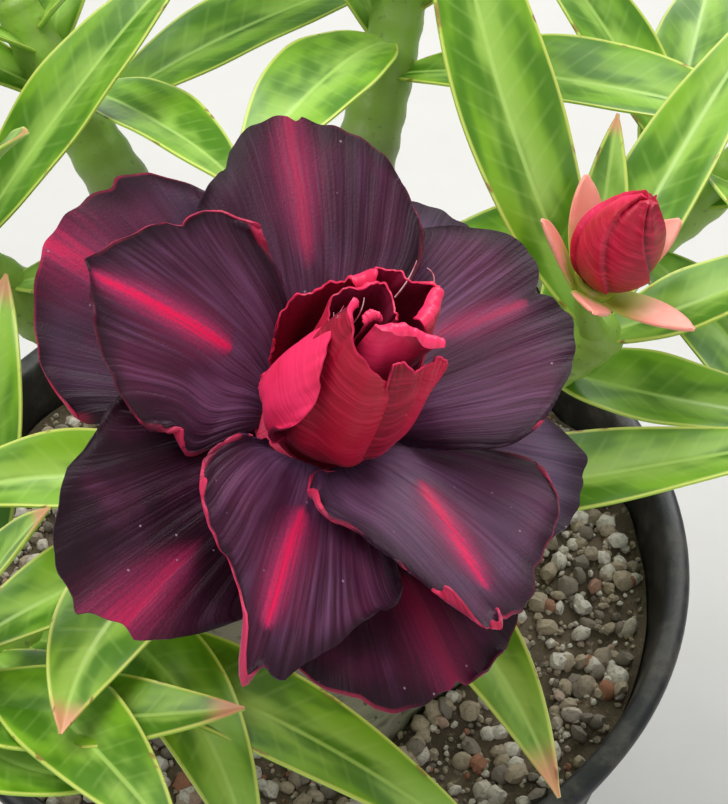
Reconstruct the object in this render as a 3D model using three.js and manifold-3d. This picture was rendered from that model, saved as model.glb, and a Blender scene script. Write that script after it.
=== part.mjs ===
// Potted desert rose: a nursery pot of gritty mix, a swollen lobed caudex with short woody
// branches, leafy shoots, one bloom with three whorls of petals and one twisted bud.
// Millimetres, +Z up. The origin is the centre of the pot's flat underside.
import * as THREE from 'three';
import { mergeVertices } from 'three/addons/utils/BufferGeometryUtils.js';
import Module from 'manifold-3d';

const wasm = await Module();
wasm.setup();

const { clamp, lerp } = THREE.MathUtils;
const DEG = Math.PI / 180;

// ---------------------------------------------------------------- driving dimensions

const GAP = 0.3; // clearance between touching pieces

const POT_HEIGHT = 122;
const POT_TOP_RADIUS = 74;
const POT_FOOT_RADIUS = 54;
const POT_WALL = 1.6;
const POT_FLOOR = 2.4;
const RIM_OVERHANG = 3.2;
const RIM_HEIGHT = 7;
const DRAIN_HOLES = 6;
const DRAIN_RADIUS = 5;
const DRAIN_CIRCLE = 38;
const POT_SIDES = 32;

const MIX_LEVEL = 109;
const MIX_RELIEF = 0.9;
const MIX_RINGS = [1, 0.86, 0.7, 0.52]; // shares of the mix's radius, from the wall inwards

const CAUDEX_FOOT = 66;
const CAUDEX_TOP = 168;
const CAUDEX_RADII = [20, 26, 31.5, 35.5, 38, 37.5, 34, 28, 21.5, 15.5]; // from foot to top
const CAUDEX_SIDES = 32;
const CAUDEX_ROWS = 12;
const ROOT_LEVEL = 105;
const ROOT_SPREAD = 10; // how far a root flare stands out of the caudex
const ROOT_HEIGHT = 12;
const ROOT_BREADTH = 15; // degrees
const ROOT_ANGLES = [20, 82, 158, 214, 287]; // degrees

const NECK = [0, -3, 150]; // where the branches part, inside the caudex
const BRANCH_RADII = [10, 8.6, 7.4, 6.6, 6.2];
const BRANCH_SIDES = 10;
const WOOD_SHARE = 0.56; // share of each branch that is woody
const SHOOT_RADII = [5.9, 5.5, 5.1, 4.7, 4.1];
const SHOOT_SIDES = 7;
const LEAF_STATIONS = [0.62, 0.985]; // shares of the branch between which leaves stand

const LEAF_THICKNESS = 0.8;
const LEAF_ROWS = 6;
const LEAF_FOLD = 18; // degrees that each half rises from the midrib
const LEAF_WAVE = 0.03; // rise and fall of the blade, as a share of its half width
const LEAF_ARCH = 0.16; // how high a leaf arches, as a share of its length
const LEAF_ROLL = 8; // degrees
const LEAF_TIP_WIDTH = 1;
const PETIOLE_WIDTH = 2.6;
const GOLDEN_ANGLE = 137.5;

// Corolla tube of the bloom as (radius, height), from its foot to its mouth
const TUBE_PROFILE = [[2.2, -30], [2.8, -24], [5.4, -15], [8, -8], [10.4, -3.4], [12.2, -0.6]];
const TUBE_SIDES = 24;
const BUD_LENGTH = 18;
const BUD_RADIUS = 6.8;
const BUD_SHAPE = [0.4, 0.78, 0.96, 1, 0.93, 0.76, 0.5, 0.2]; // shares of the radius, foot to tip
const BUD_TWIST = 1.4; // steps between two petals that each edge turns on its way up
const BUD_SIDES = 20;
const BUD_ROWS = 8;

// Each flower has a frame of its own: the place of its throat or centre, its axis, the height
// of its foot on that axis, and five sepals with the lean of each from the axis in degrees.
const BLOOM = {
  origin: [8.3, -60.9, 237],
  axis: [0.314, -0.198, 0.929],
  foot: TUBE_PROFILE[0][1],
  sepals: { length: 9, width: 4, leans: [14, 14, 14, 14, 14] },
};
const BUD = {
  origin: [51.9, -27.3, 236.1],
  axis: [0.34, -0.02, 0.94],
  foot: -BUD_LENGTH / 2,
  sepals: { length: 15, width: 5, leans: [40, 46, 40, 50, 62] },
};
const SEPAL_THICKNESS = 0.8;
const STALK_RADII = [3.2, 2.2, 1.9, 1.9];
const STALK_SIDES = 8;

// Each branch runs from the neck to its tip. The listed leaves leave the green stem at a
// station from its foot (0) to its end (1) and pass under a bend on the way to their tip;
// the other leaves follow the spiral of the shoot, from the lowest to the highest.
const SHOOTS = [
  {
    name: 'leafy_shoot_1',
    flower: BLOOM,
    tip: [-3, -51, 197],
    lift: 16,
    leaves: [
      { at: 0.95, bend: [-28, -66, 203], tip: [-30, -93, 203], width: 17 },
      { at: 0.75, bend: [-28, -41, 206], tip: [-56, -55, 206], width: 16 },
      { at: 0.5, bend: [-29, -58, 197], tip: [-50, -75, 194], width: 15 },
      { at: 0.85, bend: [29, -56, 200], tip: [42, -94, 187], width: 14 },
      { at: 0.65, bend: [44, -45, 199], tip: [88, -39, 204], width: 16 },
    ],
  },
  {
    name: 'leafy_shoot_2',
    flower: BUD,
    tip: [51, -25, 213],
    lift: 18,
    leaves: [
      { at: 0.98, bend: [31, -8, 246], tip: [25, 36, 267], width: 17 },
      { at: 0.93, bend: [66, -25, 219], tip: [90, -15, 224], width: 12 },
      { at: 0.88, bend: [58, -4, 222], tip: [85, 31, 240], width: 14 },
      { at: 0.98, bend: [51, -8, 220], tip: [54, 5, 232], width: 8 },
      { at: 0.5, bend: [58, -26, 198], tip: [96, -26, 189], width: 15 },
    ],
    spiral: { count: 2, turn: 60, rise: [0, 10], length: [66, 54], width: [16, 13] },
  },
  {
    name: 'leafy_shoot_3',
    tip: [-58, -76, 186],
    lift: 14,
    leaves: [
      { at: 0.97, bend: [-31, -88, 195], tip: [-4, -88, 202], width: 15 },
      { at: 0.9, bend: [-41, -93, 188], tip: [-22, -94, 192], width: 14 },
      { at: 0.15, bend: [-14, -63, 194], tip: [-2, -102, 172], width: 15 },
      { at: 0.35, bend: [-8, -69, 188], tip: [37, -97, 168], width: 16 },
    ],
    spiral: { count: 5, turn: 168, rise: [5, 68], length: [74, 52], width: [17, 12] },
  },
  {
    name: 'leafy_shoot_4',
    tip: [-62, 4, 208],
    lift: 20,
    spiral: { count: 8, turn: 208, rise: [0, 68], length: [80, 54], width: [18, 13] },
  },
  {
    name: 'leafy_shoot_5',
    tip: [22, 60, 224],
    lift: 24,
    spiral: { count: 8, turn: 334, rise: [8, 50], length: [82, 56], width: [18, 13] },
  },
  {
    name: 'leafy_shoot_6',
    tip: [82, 30, 198],
    lift: 18,
    spiral: { count: 7, turn: 298, rise: [-8, 50], length: [76, 54], width: [17, 13] },
  },
  {
    name: 'leafy_shoot_7',
    tip: [-50, 54, 214],
    lift: 22,
    spiral: { count: 7, turn: 30, rise: [0, 60], length: [78, 54], width: [17, 13] },
  },
];

// Petals of one whorl: azimuth in degrees about the bloom's axis, width, the profile of the
// midrib as (radius, height) at its root, bend and tip, the roll that lays each petal's
// clockwise edge over its neighbour, the rise of both edges, and the edge's waves.
const MIDDLE_PETALS = [
  { azimuth: 103, width: 31.5, profile: [7.6, -4, 13, 6, 42.5, 9], roll: 13, cup: 1, wave: 0.9 },
  { azimuth: 163, width: 31.5, profile: [7.6, -4, 13, 6, 37, 9], roll: 13, cup: 1, wave: 0.9 },
  { azimuth: 258, width: 31, profile: [7.6, -4, 13, 6, 42.5, 5], roll: 13, cup: 1, wave: 0.9 },
  { azimuth: 312, width: 35, profile: [7.6, -4, 13, 6, 41, 6], roll: 13, cup: 1, wave: 0.9 },
  { azimuth: 31, width: 40, profile: [7.6, -4, 13, 6, 37.5, 9], roll: 13, cup: 1, wave: 0.9 },
];
const OUTER_PETALS = [
  { azimuth: 148, width: 35, profile: [7.6, -7, 14, -2, 46, 0], roll: 10, cup: 1, wave: 1.2 },
  { azimuth: 222, width: 35, profile: [7.6, -7, 14, -2, 47, -2], roll: 10, cup: 1, wave: 1.2 },
  { azimuth: 292, width: 42, profile: [7.6, -7, 14, -2, 44, -4], roll: 10, cup: 1, wave: 1.2 },
  { azimuth: 346, width: 34, profile: [7.6, -7, 14, -2, 41.5, -3], roll: 10, cup: 1, wave: 1.2 },
  { azimuth: 66, width: 33, profile: [7.6, -7, 14, -2, 41, 0], roll: 10, cup: 1, wave: 1.2 },
];
const PETAL_THICKNESS = 0.8;
const PETAL_ROOT_WIDTH = 8;
const PETAL_SHOULDER = 0.36; // share of the length taken up by the rounded end
const PETAL_ACROSS = 7;
const PETAL_ROWS = 6;

// Petals of the heart: the azimuths between which each stands, the radius of its belly, and
// its margin as (azimuth, radius, height), all from one edge to the other.
const HEART_THICKNESS = 0.8;
const HEART_FOOT_RADIUS = 8.8;
const HEART_FOOT_HEIGHT = 1;
const HEART_PETALS = [
  {
    foot: [150, 305],
    belly: [10.2, 11, 11.8],
    margin: [[170, 5, 21], [190, 4, 26], [225, 4, 23], [262, 7.2, 21.5], [285, 9.8, 18], [305, 11.2, 10]],
  },
  {
    foot: [135, 226],
    belly: [10.6, 11.8, 12.2],
    margin: [[139, 10.4, 3.4], [150, 8.6, 5], [158, 7.2, 11.5], [167, 6, 18.5], [192, 6.6, 22.5],
      [221, 8.8, 21.5], [231, 10.8, 16], [230, 12, 10], [228, 12.2, 5.5]],
  },
  {
    foot: [80, 178],
    belly: [11, 10.4, 9.8],
    margin: [[85, 9, 22], [102, 10, 20.5], [122, 10.8, 15.5], [148, 11.2, 11], [178, 9.6, 3]],
  },
  {
    foot: [284, 356],
    belly: [10.8, 10.8, 10.4],
    margin: [[290, 5.2, 21], [300, 7, 23], [320, 8.2, 23.5], [338, 9.8, 23], [352, 10.4, 15]],
  },
  {
    foot: [-5, 105],
    belly: [9.4, 9.8, 9.8],
    margin: [[-2, 4, 21], [16, 7, 25], [36, 9.2, 25.5], [60, 9.2, 23.5], [80, 9.2, 23], [104, 9.4, 21]],
  },
  {
    foot: [210, 365],
    belly: [5.6, 5.6, 5.6],
    margin: [[212, 2.2, 24], [250, 2.8, 26], [285, 4, 25.5], [315, 5, 25], [338, 7.4, 26.5], [365, 6.4, 22]],
  },
  {
    foot: [90, 170],
    belly: [7.6, 7.6, 7.2],
    margin: [[92, 7.6, 22], [112, 7, 19.5], [132, 7.6, 18.5], [168, 5.4, 17.5]],
  },
];
const HEART_ACROSS = 6;
const HEART_ROWS = 4;
// Root of the heart as (radius, height): it stands in the throat of the corolla tube
const HEART_ROOT = [[3, -12], [6.6, -2], [10.2, 1], [10.2, 3]];
const HEART_ROOT_TOP = 4;

// ---------------------------------------------------------------- shaping helpers

const vec = (list) => new THREE.Vector3(...list);

// Value at u (0 to 1) on a smooth line through evenly spaced values
function along(values, u) {
  const last = values.length - 1;
  const i = Math.min(Math.floor(clamp(u, 0, 1) * last), last - 1);
  const f = clamp(u, 0, 1) * last - i;
  const at = (k) => values[clamp(k, 0, last)];
  const slopeIn = (at(i + 1) - at(i - 1)) / 2;
  const slopeOut = (at(i + 2) - at(i)) / 2;
  const rise = at(i + 1) - at(i);
  return at(i) + f * (slopeIn + f * (3 * rise - 2 * slopeIn - slopeOut
    + f * (slopeIn + slopeOut - 2 * rise)));
}

// Direction square to a surface (t from -1 to 1, s from 0 to 1) at one place
function facing(surface, t, s) {
  const step = 0.01;
  const across = surface(Math.min(t + step, 1), s).sub(surface(Math.max(t - step, -1), s));
  const up = surface(t, Math.min(s + step, 1)).sub(surface(t, Math.max(s - step, 0)));
  return across.cross(up).normalize();
}

// A thin closed blade: both faces carry one grid, split into triangles alike
function blade(surface, across, rows, thickness) {
  const columns = across + 1;
  const positions = [];
  for (const side of [0.5, -0.5]) {
    for (let j = 0; j <= rows; j += 1) {
      for (let i = 0; i <= across; i += 1) {
        const t = (2 * i) / across - 1;
        const s = j / rows;
        const point = surface(t, s).addScaledVector(facing(surface, t, s), side * thickness);
        positions.push(point.x, point.y, point.z);
      }
    }
  }
  const under = columns * (rows + 1);
  const index = [];
  for (let j = 0; j < rows; j += 1) {
    for (let i = 0; i < across; i += 1) {
      const a = j * columns + i;
      const b = a + 1;
      const c = b + columns;
      const d = a + columns;
      index.push(a, b, c, a, c, d);
      index.push(under + a, under + c, under + b, under + a, under + d, under + c);
    }
  }
  const rim = [];
  for (let i = 0; i < across; i += 1) rim.push(i);
  for (let j = 0; j < rows; j += 1) rim.push(j * columns + across);
  for (let i = across; i > 0; i -= 1) rim.push(rows * columns + i);
  for (let j = rows; j > 0; j -= 1) rim.push(j * columns);
  rim.forEach((p, k) => {
    const q = rim[(k + 1) % rim.length];
    index.push(under + p, under + q, q, under + p, q, p);
  });
  return geometryFrom(positions, index);
}

// A closed body through rings of points, each ring counter-clockwise seen from its far end
function ringBody(rings) {
  const sides = rings[0].length;
  const positions = rings.flat().flatMap((p) => [p.x, p.y, p.z]);
  const index = [];
  for (let j = 0; j < rings.length - 1; j += 1) {
    for (let i = 0; i < sides; i += 1) {
      const a = j * sides + i;
      const b = j * sides + ((i + 1) % sides);
      index.push(a, b, b + sides, a, b + sides, a + sides);
    }
  }
  const first = positions.length / 3;
  const last = (rings.length - 1) * sides;
  for (const ring of [rings[0], rings[rings.length - 1]]) {
    const centre = ring.reduce((sum, p) => sum.add(p), new THREE.Vector3()).divideScalar(sides);
    positions.push(centre.x, centre.y, centre.z);
  }
  for (let i = 0; i < sides; i += 1) {
    const next = (i + 1) % sides;
    index.push(first, next, i, first + 1, last + i, last + next);
  }
  return geometryFrom(positions, index);
}

// A round tapered stem along part of a curve
function stem(curve, from, to, radii, sides, rows) {
  const steps = rows * 8;
  const frames = curve.computeFrenetFrames(steps);
  const rings = [];
  for (let j = 0; j <= rows; j += 1) {
    const u = lerp(from, to, j / rows);
    const frame = Math.round(u * steps);
    const centre = curve.getPointAt(u);
    const radius = along(radii, j / rows);
    const ring = [];
    for (let i = 0; i < sides; i += 1) {
      const angle = (2 * Math.PI * i) / sides;
      ring.push(centre.clone()
        .addScaledVector(frames.normals[frame], radius * Math.cos(angle))
        .addScaledVector(frames.binormals[frame], radius * Math.sin(angle)));
    }
    rings.push(ring);
  }
  return ringBody(rings);
}

function geometryFrom(positions, index) {
  const geometry = new THREE.BufferGeometry();
  geometry.setAttribute('position', new THREE.Float32BufferAttribute(positions, 3));
  geometry.setIndex(index);
  return geometry;
}

// A solid turned about +Z, from a profile of (radius, height) points
function turned(profile, sides) {
  const points = profile.map(([r, z]) => new THREE.Vector2(r, z));
  return solid(new THREE.LatheGeometry(points, sides).rotateX(Math.PI / 2));
}

// three.js geometry to a solid and back
function solid(geometry) {
  const bare = geometry.clone();
  bare.deleteAttribute('normal');
  bare.deleteAttribute('uv');
  const merged = mergeVertices(bare, 1e-4);
  return new wasm.Manifold(new wasm.Mesh({
    numProp: 3,
    vertProperties: merged.attributes.position.array,
    triVerts: Uint32Array.from(merged.index.array),
  }));
}

function geometryOf(body) {
  const mesh = body.getMesh();
  return geometryFrom(Array.from(mesh.vertProperties), Array.from(mesh.triVerts));
}

// Several solids joined to one body, without loose scraps or sealed hollows
function joined(solids) {
  const whole = solids.reduce((sum, next) => sum.add(next));
  const bodies = whole.decompose();
  return bodies.reduce((best, next) => (next.volume() > best.volume() ? next : best));
}

function piece(name, body, material) {
  const geometry = geometryOf(body);
  geometry.computeVertexNormals();
  const mesh = new THREE.Mesh(geometry, material);
  mesh.name = name;
  return mesh;
}

// ---------------------------------------------------------------- materials

const matt = (color, roughness) => new THREE.MeshStandardMaterial({ color, roughness, metalness: 0 });
const blackPlastic = () => matt(0x1b1c1e, 0.5);
const grittyMix = () => matt(0x9a8a76, 0.95);
const greyBark = () => matt(0x8a8473, 0.8);
const leafGreen = () => matt(0x6fae2f, 0.45);
const darkPetal = () => matt(0x3a1a2c, 0.6);
const crimsonPetal = () => matt(0xb5173c, 0.5);

// ---------------------------------------------------------------- pot and mix

function outerRadius(z) {
  return lerp(POT_FOOT_RADIUS, POT_TOP_RADIUS, z / POT_HEIGHT);
}

function innerRadius(z) {
  return outerRadius(z) - POT_WALL;
}

function potSolid() {
  const lip = POT_HEIGHT - RIM_HEIGHT;
  const profile = [
    [0, 0],
    [POT_FOOT_RADIUS - 2, 0],
    [POT_FOOT_RADIUS, 2],
    [outerRadius(lip), lip],
    [outerRadius(lip) + RIM_OVERHANG, lip + 1],
    [POT_TOP_RADIUS + RIM_OVERHANG, POT_HEIGHT - 1.5],
    [POT_TOP_RADIUS + RIM_OVERHANG - 1.5, POT_HEIGHT],
    [POT_TOP_RADIUS - 0.5, POT_HEIGHT],
    [innerRadius(POT_HEIGHT - 2), POT_HEIGHT - 2],
    [innerRadius(POT_FLOOR), POT_FLOOR],
    [0, POT_FLOOR],
  ];
  let pot = turned(profile, POT_SIDES);
  for (let k = 0; k < DRAIN_HOLES; k += 1) {
    const angle = (2 * Math.PI * (k + 0.5)) / DRAIN_HOLES;
    const drill = new THREE.CylinderGeometry(DRAIN_RADIUS, DRAIN_RADIUS, POT_FLOOR * 4, 12);
    drill.rotateX(Math.PI / 2);
    drill.translate(DRAIN_CIRCLE * Math.cos(angle), DRAIN_CIRCLE * Math.sin(angle), 0);
    pot = pot.subtract(solid(drill));
  }
  return pot;
}

// Low grit relief of the mix's surface
function mixHeight(x, y) {
  const coarse = Math.sin(0.23 * x + 0.6) * Math.cos(0.19 * y - 0.4);
  const fine = Math.sin(0.47 * x - 0.38 * y + 1.1);
  return MIX_LEVEL + MIX_RELIEF * (coarse + 0.7 * fine);
}

function mixSolid() {
  const foot = POT_FLOOR + GAP;
  const edge = innerRadius(MIX_LEVEL) - GAP;
  const top = MIX_RINGS.map((share) => [edge * share, MIX_LEVEL]);
  const profile = [[0, foot], [innerRadius(foot) - GAP, foot], ...top, [0, MIX_LEVEL]];
  const points = profile.map(([r, z]) => new THREE.Vector2(r, z));
  const body = new THREE.LatheGeometry(points, POT_SIDES).rotateX(Math.PI / 2);
  const position = body.attributes.position;
  for (let i = 0; i < position.count; i += 1) {
    const x = position.getX(i);
    const y = position.getY(i);
    const inside = Math.hypot(x, y) < edge * 0.99;
    if (inside && position.getZ(i) > MIX_LEVEL - 1) position.setZ(i, mixHeight(x, y));
  }
  return solid(body).subtract(caudexBase(GAP));
}

// ---------------------------------------------------------------- caudex and branches

function turnBetween(a, b) {
  return Math.abs(((a - b + 540) % 360) - 180);
}

// Radius of the caudex at an angle (degrees) and height: a swollen body with soft lobes
// and a root flare at each of the root angles
function caudexRadius(angle, z) {
  const rise = (z - CAUDEX_FOOT) / (CAUDEX_TOP - CAUDEX_FOOT);
  const lobes = 0.05 * Math.cos(3 * angle * DEG + 0.8) + 0.045 * Math.cos(5 * angle * DEG + 2.1 + 2 * rise);
  const level = Math.exp(-(((z - ROOT_LEVEL) / ROOT_HEIGHT) ** 2));
  const flare = ROOT_ANGLES.reduce(
    (sum, root) => sum + Math.exp(-((turnBetween(angle, root) / ROOT_BREADTH) ** 2)),
    0,
  );
  return along(CAUDEX_RADII, rise) * (1 + lobes) + ROOT_SPREAD * flare * level;
}

function caudexBase(grown) {
  const rings = [];
  for (let j = 0; j <= CAUDEX_ROWS; j += 1) {
    const z = lerp(CAUDEX_FOOT - grown, CAUDEX_TOP, j / CAUDEX_ROWS);
    const ring = [];
    for (let i = 0; i < CAUDEX_SIDES; i += 1) {
      const angle = (360 * i) / CAUDEX_SIDES;
      const radius = caudexRadius(angle, Math.max(z, CAUDEX_FOOT)) + grown;
      ring.push(new THREE.Vector3(radius * Math.cos(angle * DEG), radius * Math.sin(angle * DEG), z));
    }
    rings.push(ring);
  }
  return solid(ringBody(rings));
}

// The line of a branch from the neck to its tip: up first, then out, and up again at the end
function branchCurve(shoot) {
  const neck = vec(NECK);
  const tip = vec(shoot.tip);
  const out = tip.clone().sub(neck);
  const first = neck.clone().add(new THREE.Vector3(out.x * 0.22, out.y * 0.22, shoot.lift));
  const second = tip.clone().sub(new THREE.Vector3(out.x * 0.2, out.y * 0.2, shoot.lift));
  return new THREE.CubicBezierCurve3(neck, first, second, tip);
}

function caudexSolid() {
  const branches = SHOOTS.map((shoot) => solid(
    stem(branchCurve(shoot), 0, WOOD_SHARE, BRANCH_RADII, BRANCH_SIDES, 5),
  ));
  return joined([caudexBase(0), ...branches]);
}

// ---------------------------------------------------------------- leaves and shoots

// A lance-shaped leaf along its midrib, with both halves folded up from it
function leafSurface({ midrib, width, roll }) {
  const outward = midrib.v2.clone().sub(midrib.v0).setZ(0).normalize();
  const above = new THREE.Vector3(0, 0, 1).addScaledVector(outward, -0.5);
  return (t, s) => {
    const tangent = midrib.getTangent(s);
    const side = above.clone().cross(tangent).normalize();
    const face = tangent.clone().cross(side).normalize();
    side.applyAxisAngle(tangent, roll * DEG);
    face.applyAxisAngle(tangent, roll * DEG);
    const lance = (width / 2) * Math.sin(Math.PI * s ** 0.92) ** 0.85;
    const half = Math.max(lance, lerp(PETIOLE_WIDTH, LEAF_TIP_WIDTH, s) / 2);
    const wave = LEAF_WAVE * half * Math.sin(9 * s + 2 * t);
    const lift = Math.abs(t) * half * Math.tan(LEAF_FOLD * DEG) + wave;
    return midrib.getPoint(s).addScaledVector(side, -t * half).addScaledVector(face, lift);
  };
}

// The listed leaves of a shoot, then those of its spiral from the lowest up
function shootLeaves({ leaves = [], spiral, ...shoot }) {
  const curve = branchCurve(shoot);
  const station = (at) => curve.getPointAt(lerp(...LEAF_STATIONS, at));
  const listed = leaves.map(({ at, bend, tip, width }) => ({
    midrib: new THREE.QuadraticBezierCurve3(station(at), vec(bend), vec(tip)),
    width,
    roll: 0,
  }));
  const wound = [];
  const { count = 0, turn, rise, length, width } = spiral ?? {};
  for (let k = 0; k < count; k += 1) {
    const share = (k + 0.5) / count;
    const heading = (turn + GOLDEN_ANGLE * k) * DEG;
    const climb = lerp(...rise, share) * DEG;
    const reach = lerp(...length, share);
    const base = station(lerp(0.3, 1, share));
    const run = new THREE.Vector3(Math.cos(heading), Math.sin(heading), 0).multiplyScalar(Math.cos(climb));
    run.z = Math.sin(climb);
    const tip = base.clone().addScaledVector(run, reach);
    const bend = base.clone().addScaledVector(run, reach * 0.5);
    bend.z += LEAF_ARCH * reach * Math.cos(climb);
    wound.push({
      midrib: new THREE.QuadraticBezierCurve3(base, bend, tip),
      width: lerp(...width, share),
      roll: LEAF_ROLL * Math.sin(2.3 * k),
    });
  }
  return [...listed, ...wound];
}

function shootSolids(shoot) {
  const curve = branchCurve(shoot);
  const from = WOOD_SHARE + GAP / curve.getLength();
  const leaves = shootLeaves(shoot).map((leaf) => solid(
    blade(leafSurface(leaf), 2, LEAF_ROWS, LEAF_THICKNESS),
  ));
  return [solid(stem(curve, from, 1, SHOOT_RADII, SHOOT_SIDES, 4)), ...leaves];
}

// ---------------------------------------------------------------- bloom

// Frame of a flower: its axis is local +Z and local +X is as near to the world's +X as it can be
function flowerGroup({ origin, axis }) {
  const up = vec(axis).normalize();
  const right = new THREE.Vector3(1, 0, 0).addScaledVector(up, -up.x).normalize();
  const back = up.clone().cross(right);
  const group = new THREE.Group();
  group.position.set(...origin);
  group.setRotationFromMatrix(new THREE.Matrix4().makeBasis(right, back, up));
  group.updateMatrixWorld(true);
  return group;
}

// One spreading petal: a narrow root, broad shoulders and a rounded end
function petalSurface(petal) {
  const [r0, h0, r1, h1, r2, h2] = petal.profile;
  const midrib = new THREE.QuadraticBezierCurve(
    new THREE.Vector2(r0, h0),
    new THREE.Vector2(r1, h1),
    new THREE.Vector2(r2, h2),
  );
  const outward = new THREE.Vector2(Math.cos(petal.azimuth * DEG), Math.sin(petal.azimuth * DEG));
  return (t, s) => {
    const spread = Math.sin((t * Math.PI) / 2);
    const half = lerp(PETAL_ROOT_WIDTH / 2, petal.width / 2, Math.sin((s * Math.PI) / 2) ** 0.75);
    const rounding = PETAL_SHOULDER * s ** 1.5 * (1 - Math.cos((t * Math.PI) / 2));
    const reach = s * (1 - rounding);
    const place = midrib.getPoint(reach);
    const slope = midrib.getTangent(reach);
    const x = half * spread;
    const lift = -Math.tan(petal.roll * DEG) * x * Math.min(1, 3 * s)
      + petal.cup * (x / half) ** 2 * s
      + petal.wave * s * s * Math.sin(5 * t + petal.azimuth) * Math.abs(t);
    const radius = place.x - slope.y * lift;
    return new THREE.Vector3(
      outward.x * radius - outward.y * x,
      outward.y * radius + outward.x * x,
      place.y + slope.x * lift,
    );
  };
}

// One upright petal of the heart: from its foot over its belly to its margin
function heartSurface({ foot, belly, margin }) {
  return (t, s) => {
    const u = (t + 1) / 2;
    const angle = lerp(foot[0], foot[1], u);
    const edge = [0, 1, 2].map((k) => along(margin.map((point) => point[k]), u));
    const turn = along([angle, angle, edge[0]], s) * DEG;
    const radius = along([HEART_FOOT_RADIUS, along(belly, u), edge[1]], s);
    const height = along([HEART_FOOT_HEIGHT, 0.4 * edge[2], edge[2]], s);
    return new THREE.Vector3(radius * Math.cos(turn), radius * Math.sin(turn), height);
  };
}

function heartRoot(grown) {
  const wall = HEART_ROOT.map(([r, h]) => [r + grown, h - grown]);
  return turned([[0, wall[0][1]], ...wall, [0, HEART_ROOT_TOP]], TUBE_SIDES);
}

function corollaSolid() {
  const [, mouth] = TUBE_PROFILE[TUBE_PROFILE.length - 1];
  const tube = turned([[0, BLOOM.foot], ...TUBE_PROFILE, [0, mouth]], TUBE_SIDES);
  const petals = [...MIDDLE_PETALS, ...OUTER_PETALS].map((petal) => solid(
    blade(petalSurface(petal), PETAL_ACROSS, PETAL_ROWS, PETAL_THICKNESS),
  ));
  return joined([tube, ...petals]).subtract(heartRoot(GAP));
}

function heartSolid() {
  const petals = HEART_PETALS.map((petal) => solid(
    blade(heartSurface(petal), HEART_ACROSS, HEART_ROWS, HEART_THICKNESS),
  ));
  return joined([heartRoot(0), ...petals]);
}

// ---------------------------------------------------------------- bud

// Five petals wound round each other: each edge stands out in a slanting step
function budSolid() {
  const rings = [];
  for (let j = 0; j <= BUD_ROWS; j += 1) {
    const rise = j / BUD_ROWS;
    const ring = [];
    for (let i = 0; i < BUD_SIDES; i += 1) {
      const turn = i / BUD_SIDES;
      const wound = (5 * turn + BUD_TWIST * rise) % 1;
      const radius = BUD_RADIUS * along(BUD_SHAPE, rise) * (0.93 + 0.12 * wound);
      const angle = 2 * Math.PI * turn;
      ring.push(new THREE.Vector3(
        radius * Math.cos(angle),
        radius * Math.sin(angle),
        BUD_LENGTH * (rise - 0.5),
      ));
    }
    rings.push(ring);
  }
  return solid(ringBody(rings));
}

// ---------------------------------------------------------------- calyx and stalk

// One pointed sepal in its flower's frame, leaning out from the cup under the corolla
function sepalSurface({ foot, sepals }, k) {
  const heading = (36 + 72 * k) * DEG;
  const lean = sepals.leans[k] * DEG;
  return (t, s) => {
    const point = (sepals.width / 2) * Math.sin(Math.PI * (0.15 + 0.85 * s)) ** 0.8;
    const x = t * Math.max(point, 0.5);
    const out = 3.1 + sepals.length * Math.sin(lean) * s;
    const up = foot - 1.6 + sepals.length * Math.cos(lean) * s - 1.5 * Math.sin(lean) * s * s;
    return new THREE.Vector3(
      out * Math.cos(heading) + x * Math.sin(heading),
      out * Math.sin(heading) - x * Math.cos(heading),
      up,
    );
  };
}

function calyxSolids(flower) {
  const top = flower.foot - GAP;
  const cup = turned([[0, top - 2.9], [1.6, top - 2.9], [3.4, top - 1.1], [3.6, top], [0, top]], 12);
  const sepals = flower.sepals.leans.map((lean, k) => solid(
    blade(sepalSurface(flower, k), 2, 4, SEPAL_THICKNESS),
  ));
  return [cup, ...sepals];
}

// Stalk from a shoot's tip into the cup of its calyx
function stalkSolid(shoot, matrix) {
  const start = vec(shoot.tip).add(new THREE.Vector3(0, 0, -3));
  const below = new THREE.Vector3(0, 0, shoot.flower.foot - 7).applyMatrix4(matrix);
  const cup = new THREE.Vector3(0, 0, shoot.flower.foot - 2.4).applyMatrix4(matrix);
  const curve = new THREE.QuadraticBezierCurve3(start, below, cup);
  return solid(stem(curve, 0, 1, STALK_RADII, STALK_SIDES, 4));
}

// A green stem with its leaves and, where it flowers, its stalk and calyx
function leafyShoot(shoot) {
  const parts = shootSolids(shoot);
  if (shoot.flower) {
    const { matrix } = flowerGroup(shoot.flower);
    const calyx = calyxSolids(shoot.flower).map((part) => part.transform(matrix.elements));
    parts.push(stalkSolid(shoot, matrix), ...calyx);
  }
  return piece(shoot.name, joined(parts), leafGreen());
}

// ---------------------------------------------------------------- assembly

const plant = new THREE.Group();
plant.add(piece('nursery_pot', potSolid(), blackPlastic()));
plant.add(piece('potting_mix', mixSolid(), grittyMix()));
plant.add(piece('caudex', caudexSolid(), greyBark()));
for (const shoot of SHOOTS) plant.add(leafyShoot(shoot));

const bloom = flowerGroup(BLOOM);
bloom.add(piece('bloom_dark_petals', corollaSolid(), darkPetal()));
bloom.add(piece('bloom_heart', heartSolid(), crimsonPetal()));
plant.add(bloom);

const bud = flowerGroup(BUD);
bud.add(piece('bud', budSolid(), crimsonPetal()));
plant.add(bud);

export default plant;
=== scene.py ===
"""Potted desert rose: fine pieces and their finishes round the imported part, in metres, +Z up.

The bloom's petals, its rolled heart, the bud, the leafy shoots, the caudex, the gritty mix and
the nursery pot are each made by an operator. Shapes are worked out in millimetres.
"""
import math

import bmesh
import bpy
import numpy as np
from bpy.props import FloatProperty, FloatVectorProperty, IntProperty, PointerProperty
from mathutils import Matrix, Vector, noise


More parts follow.
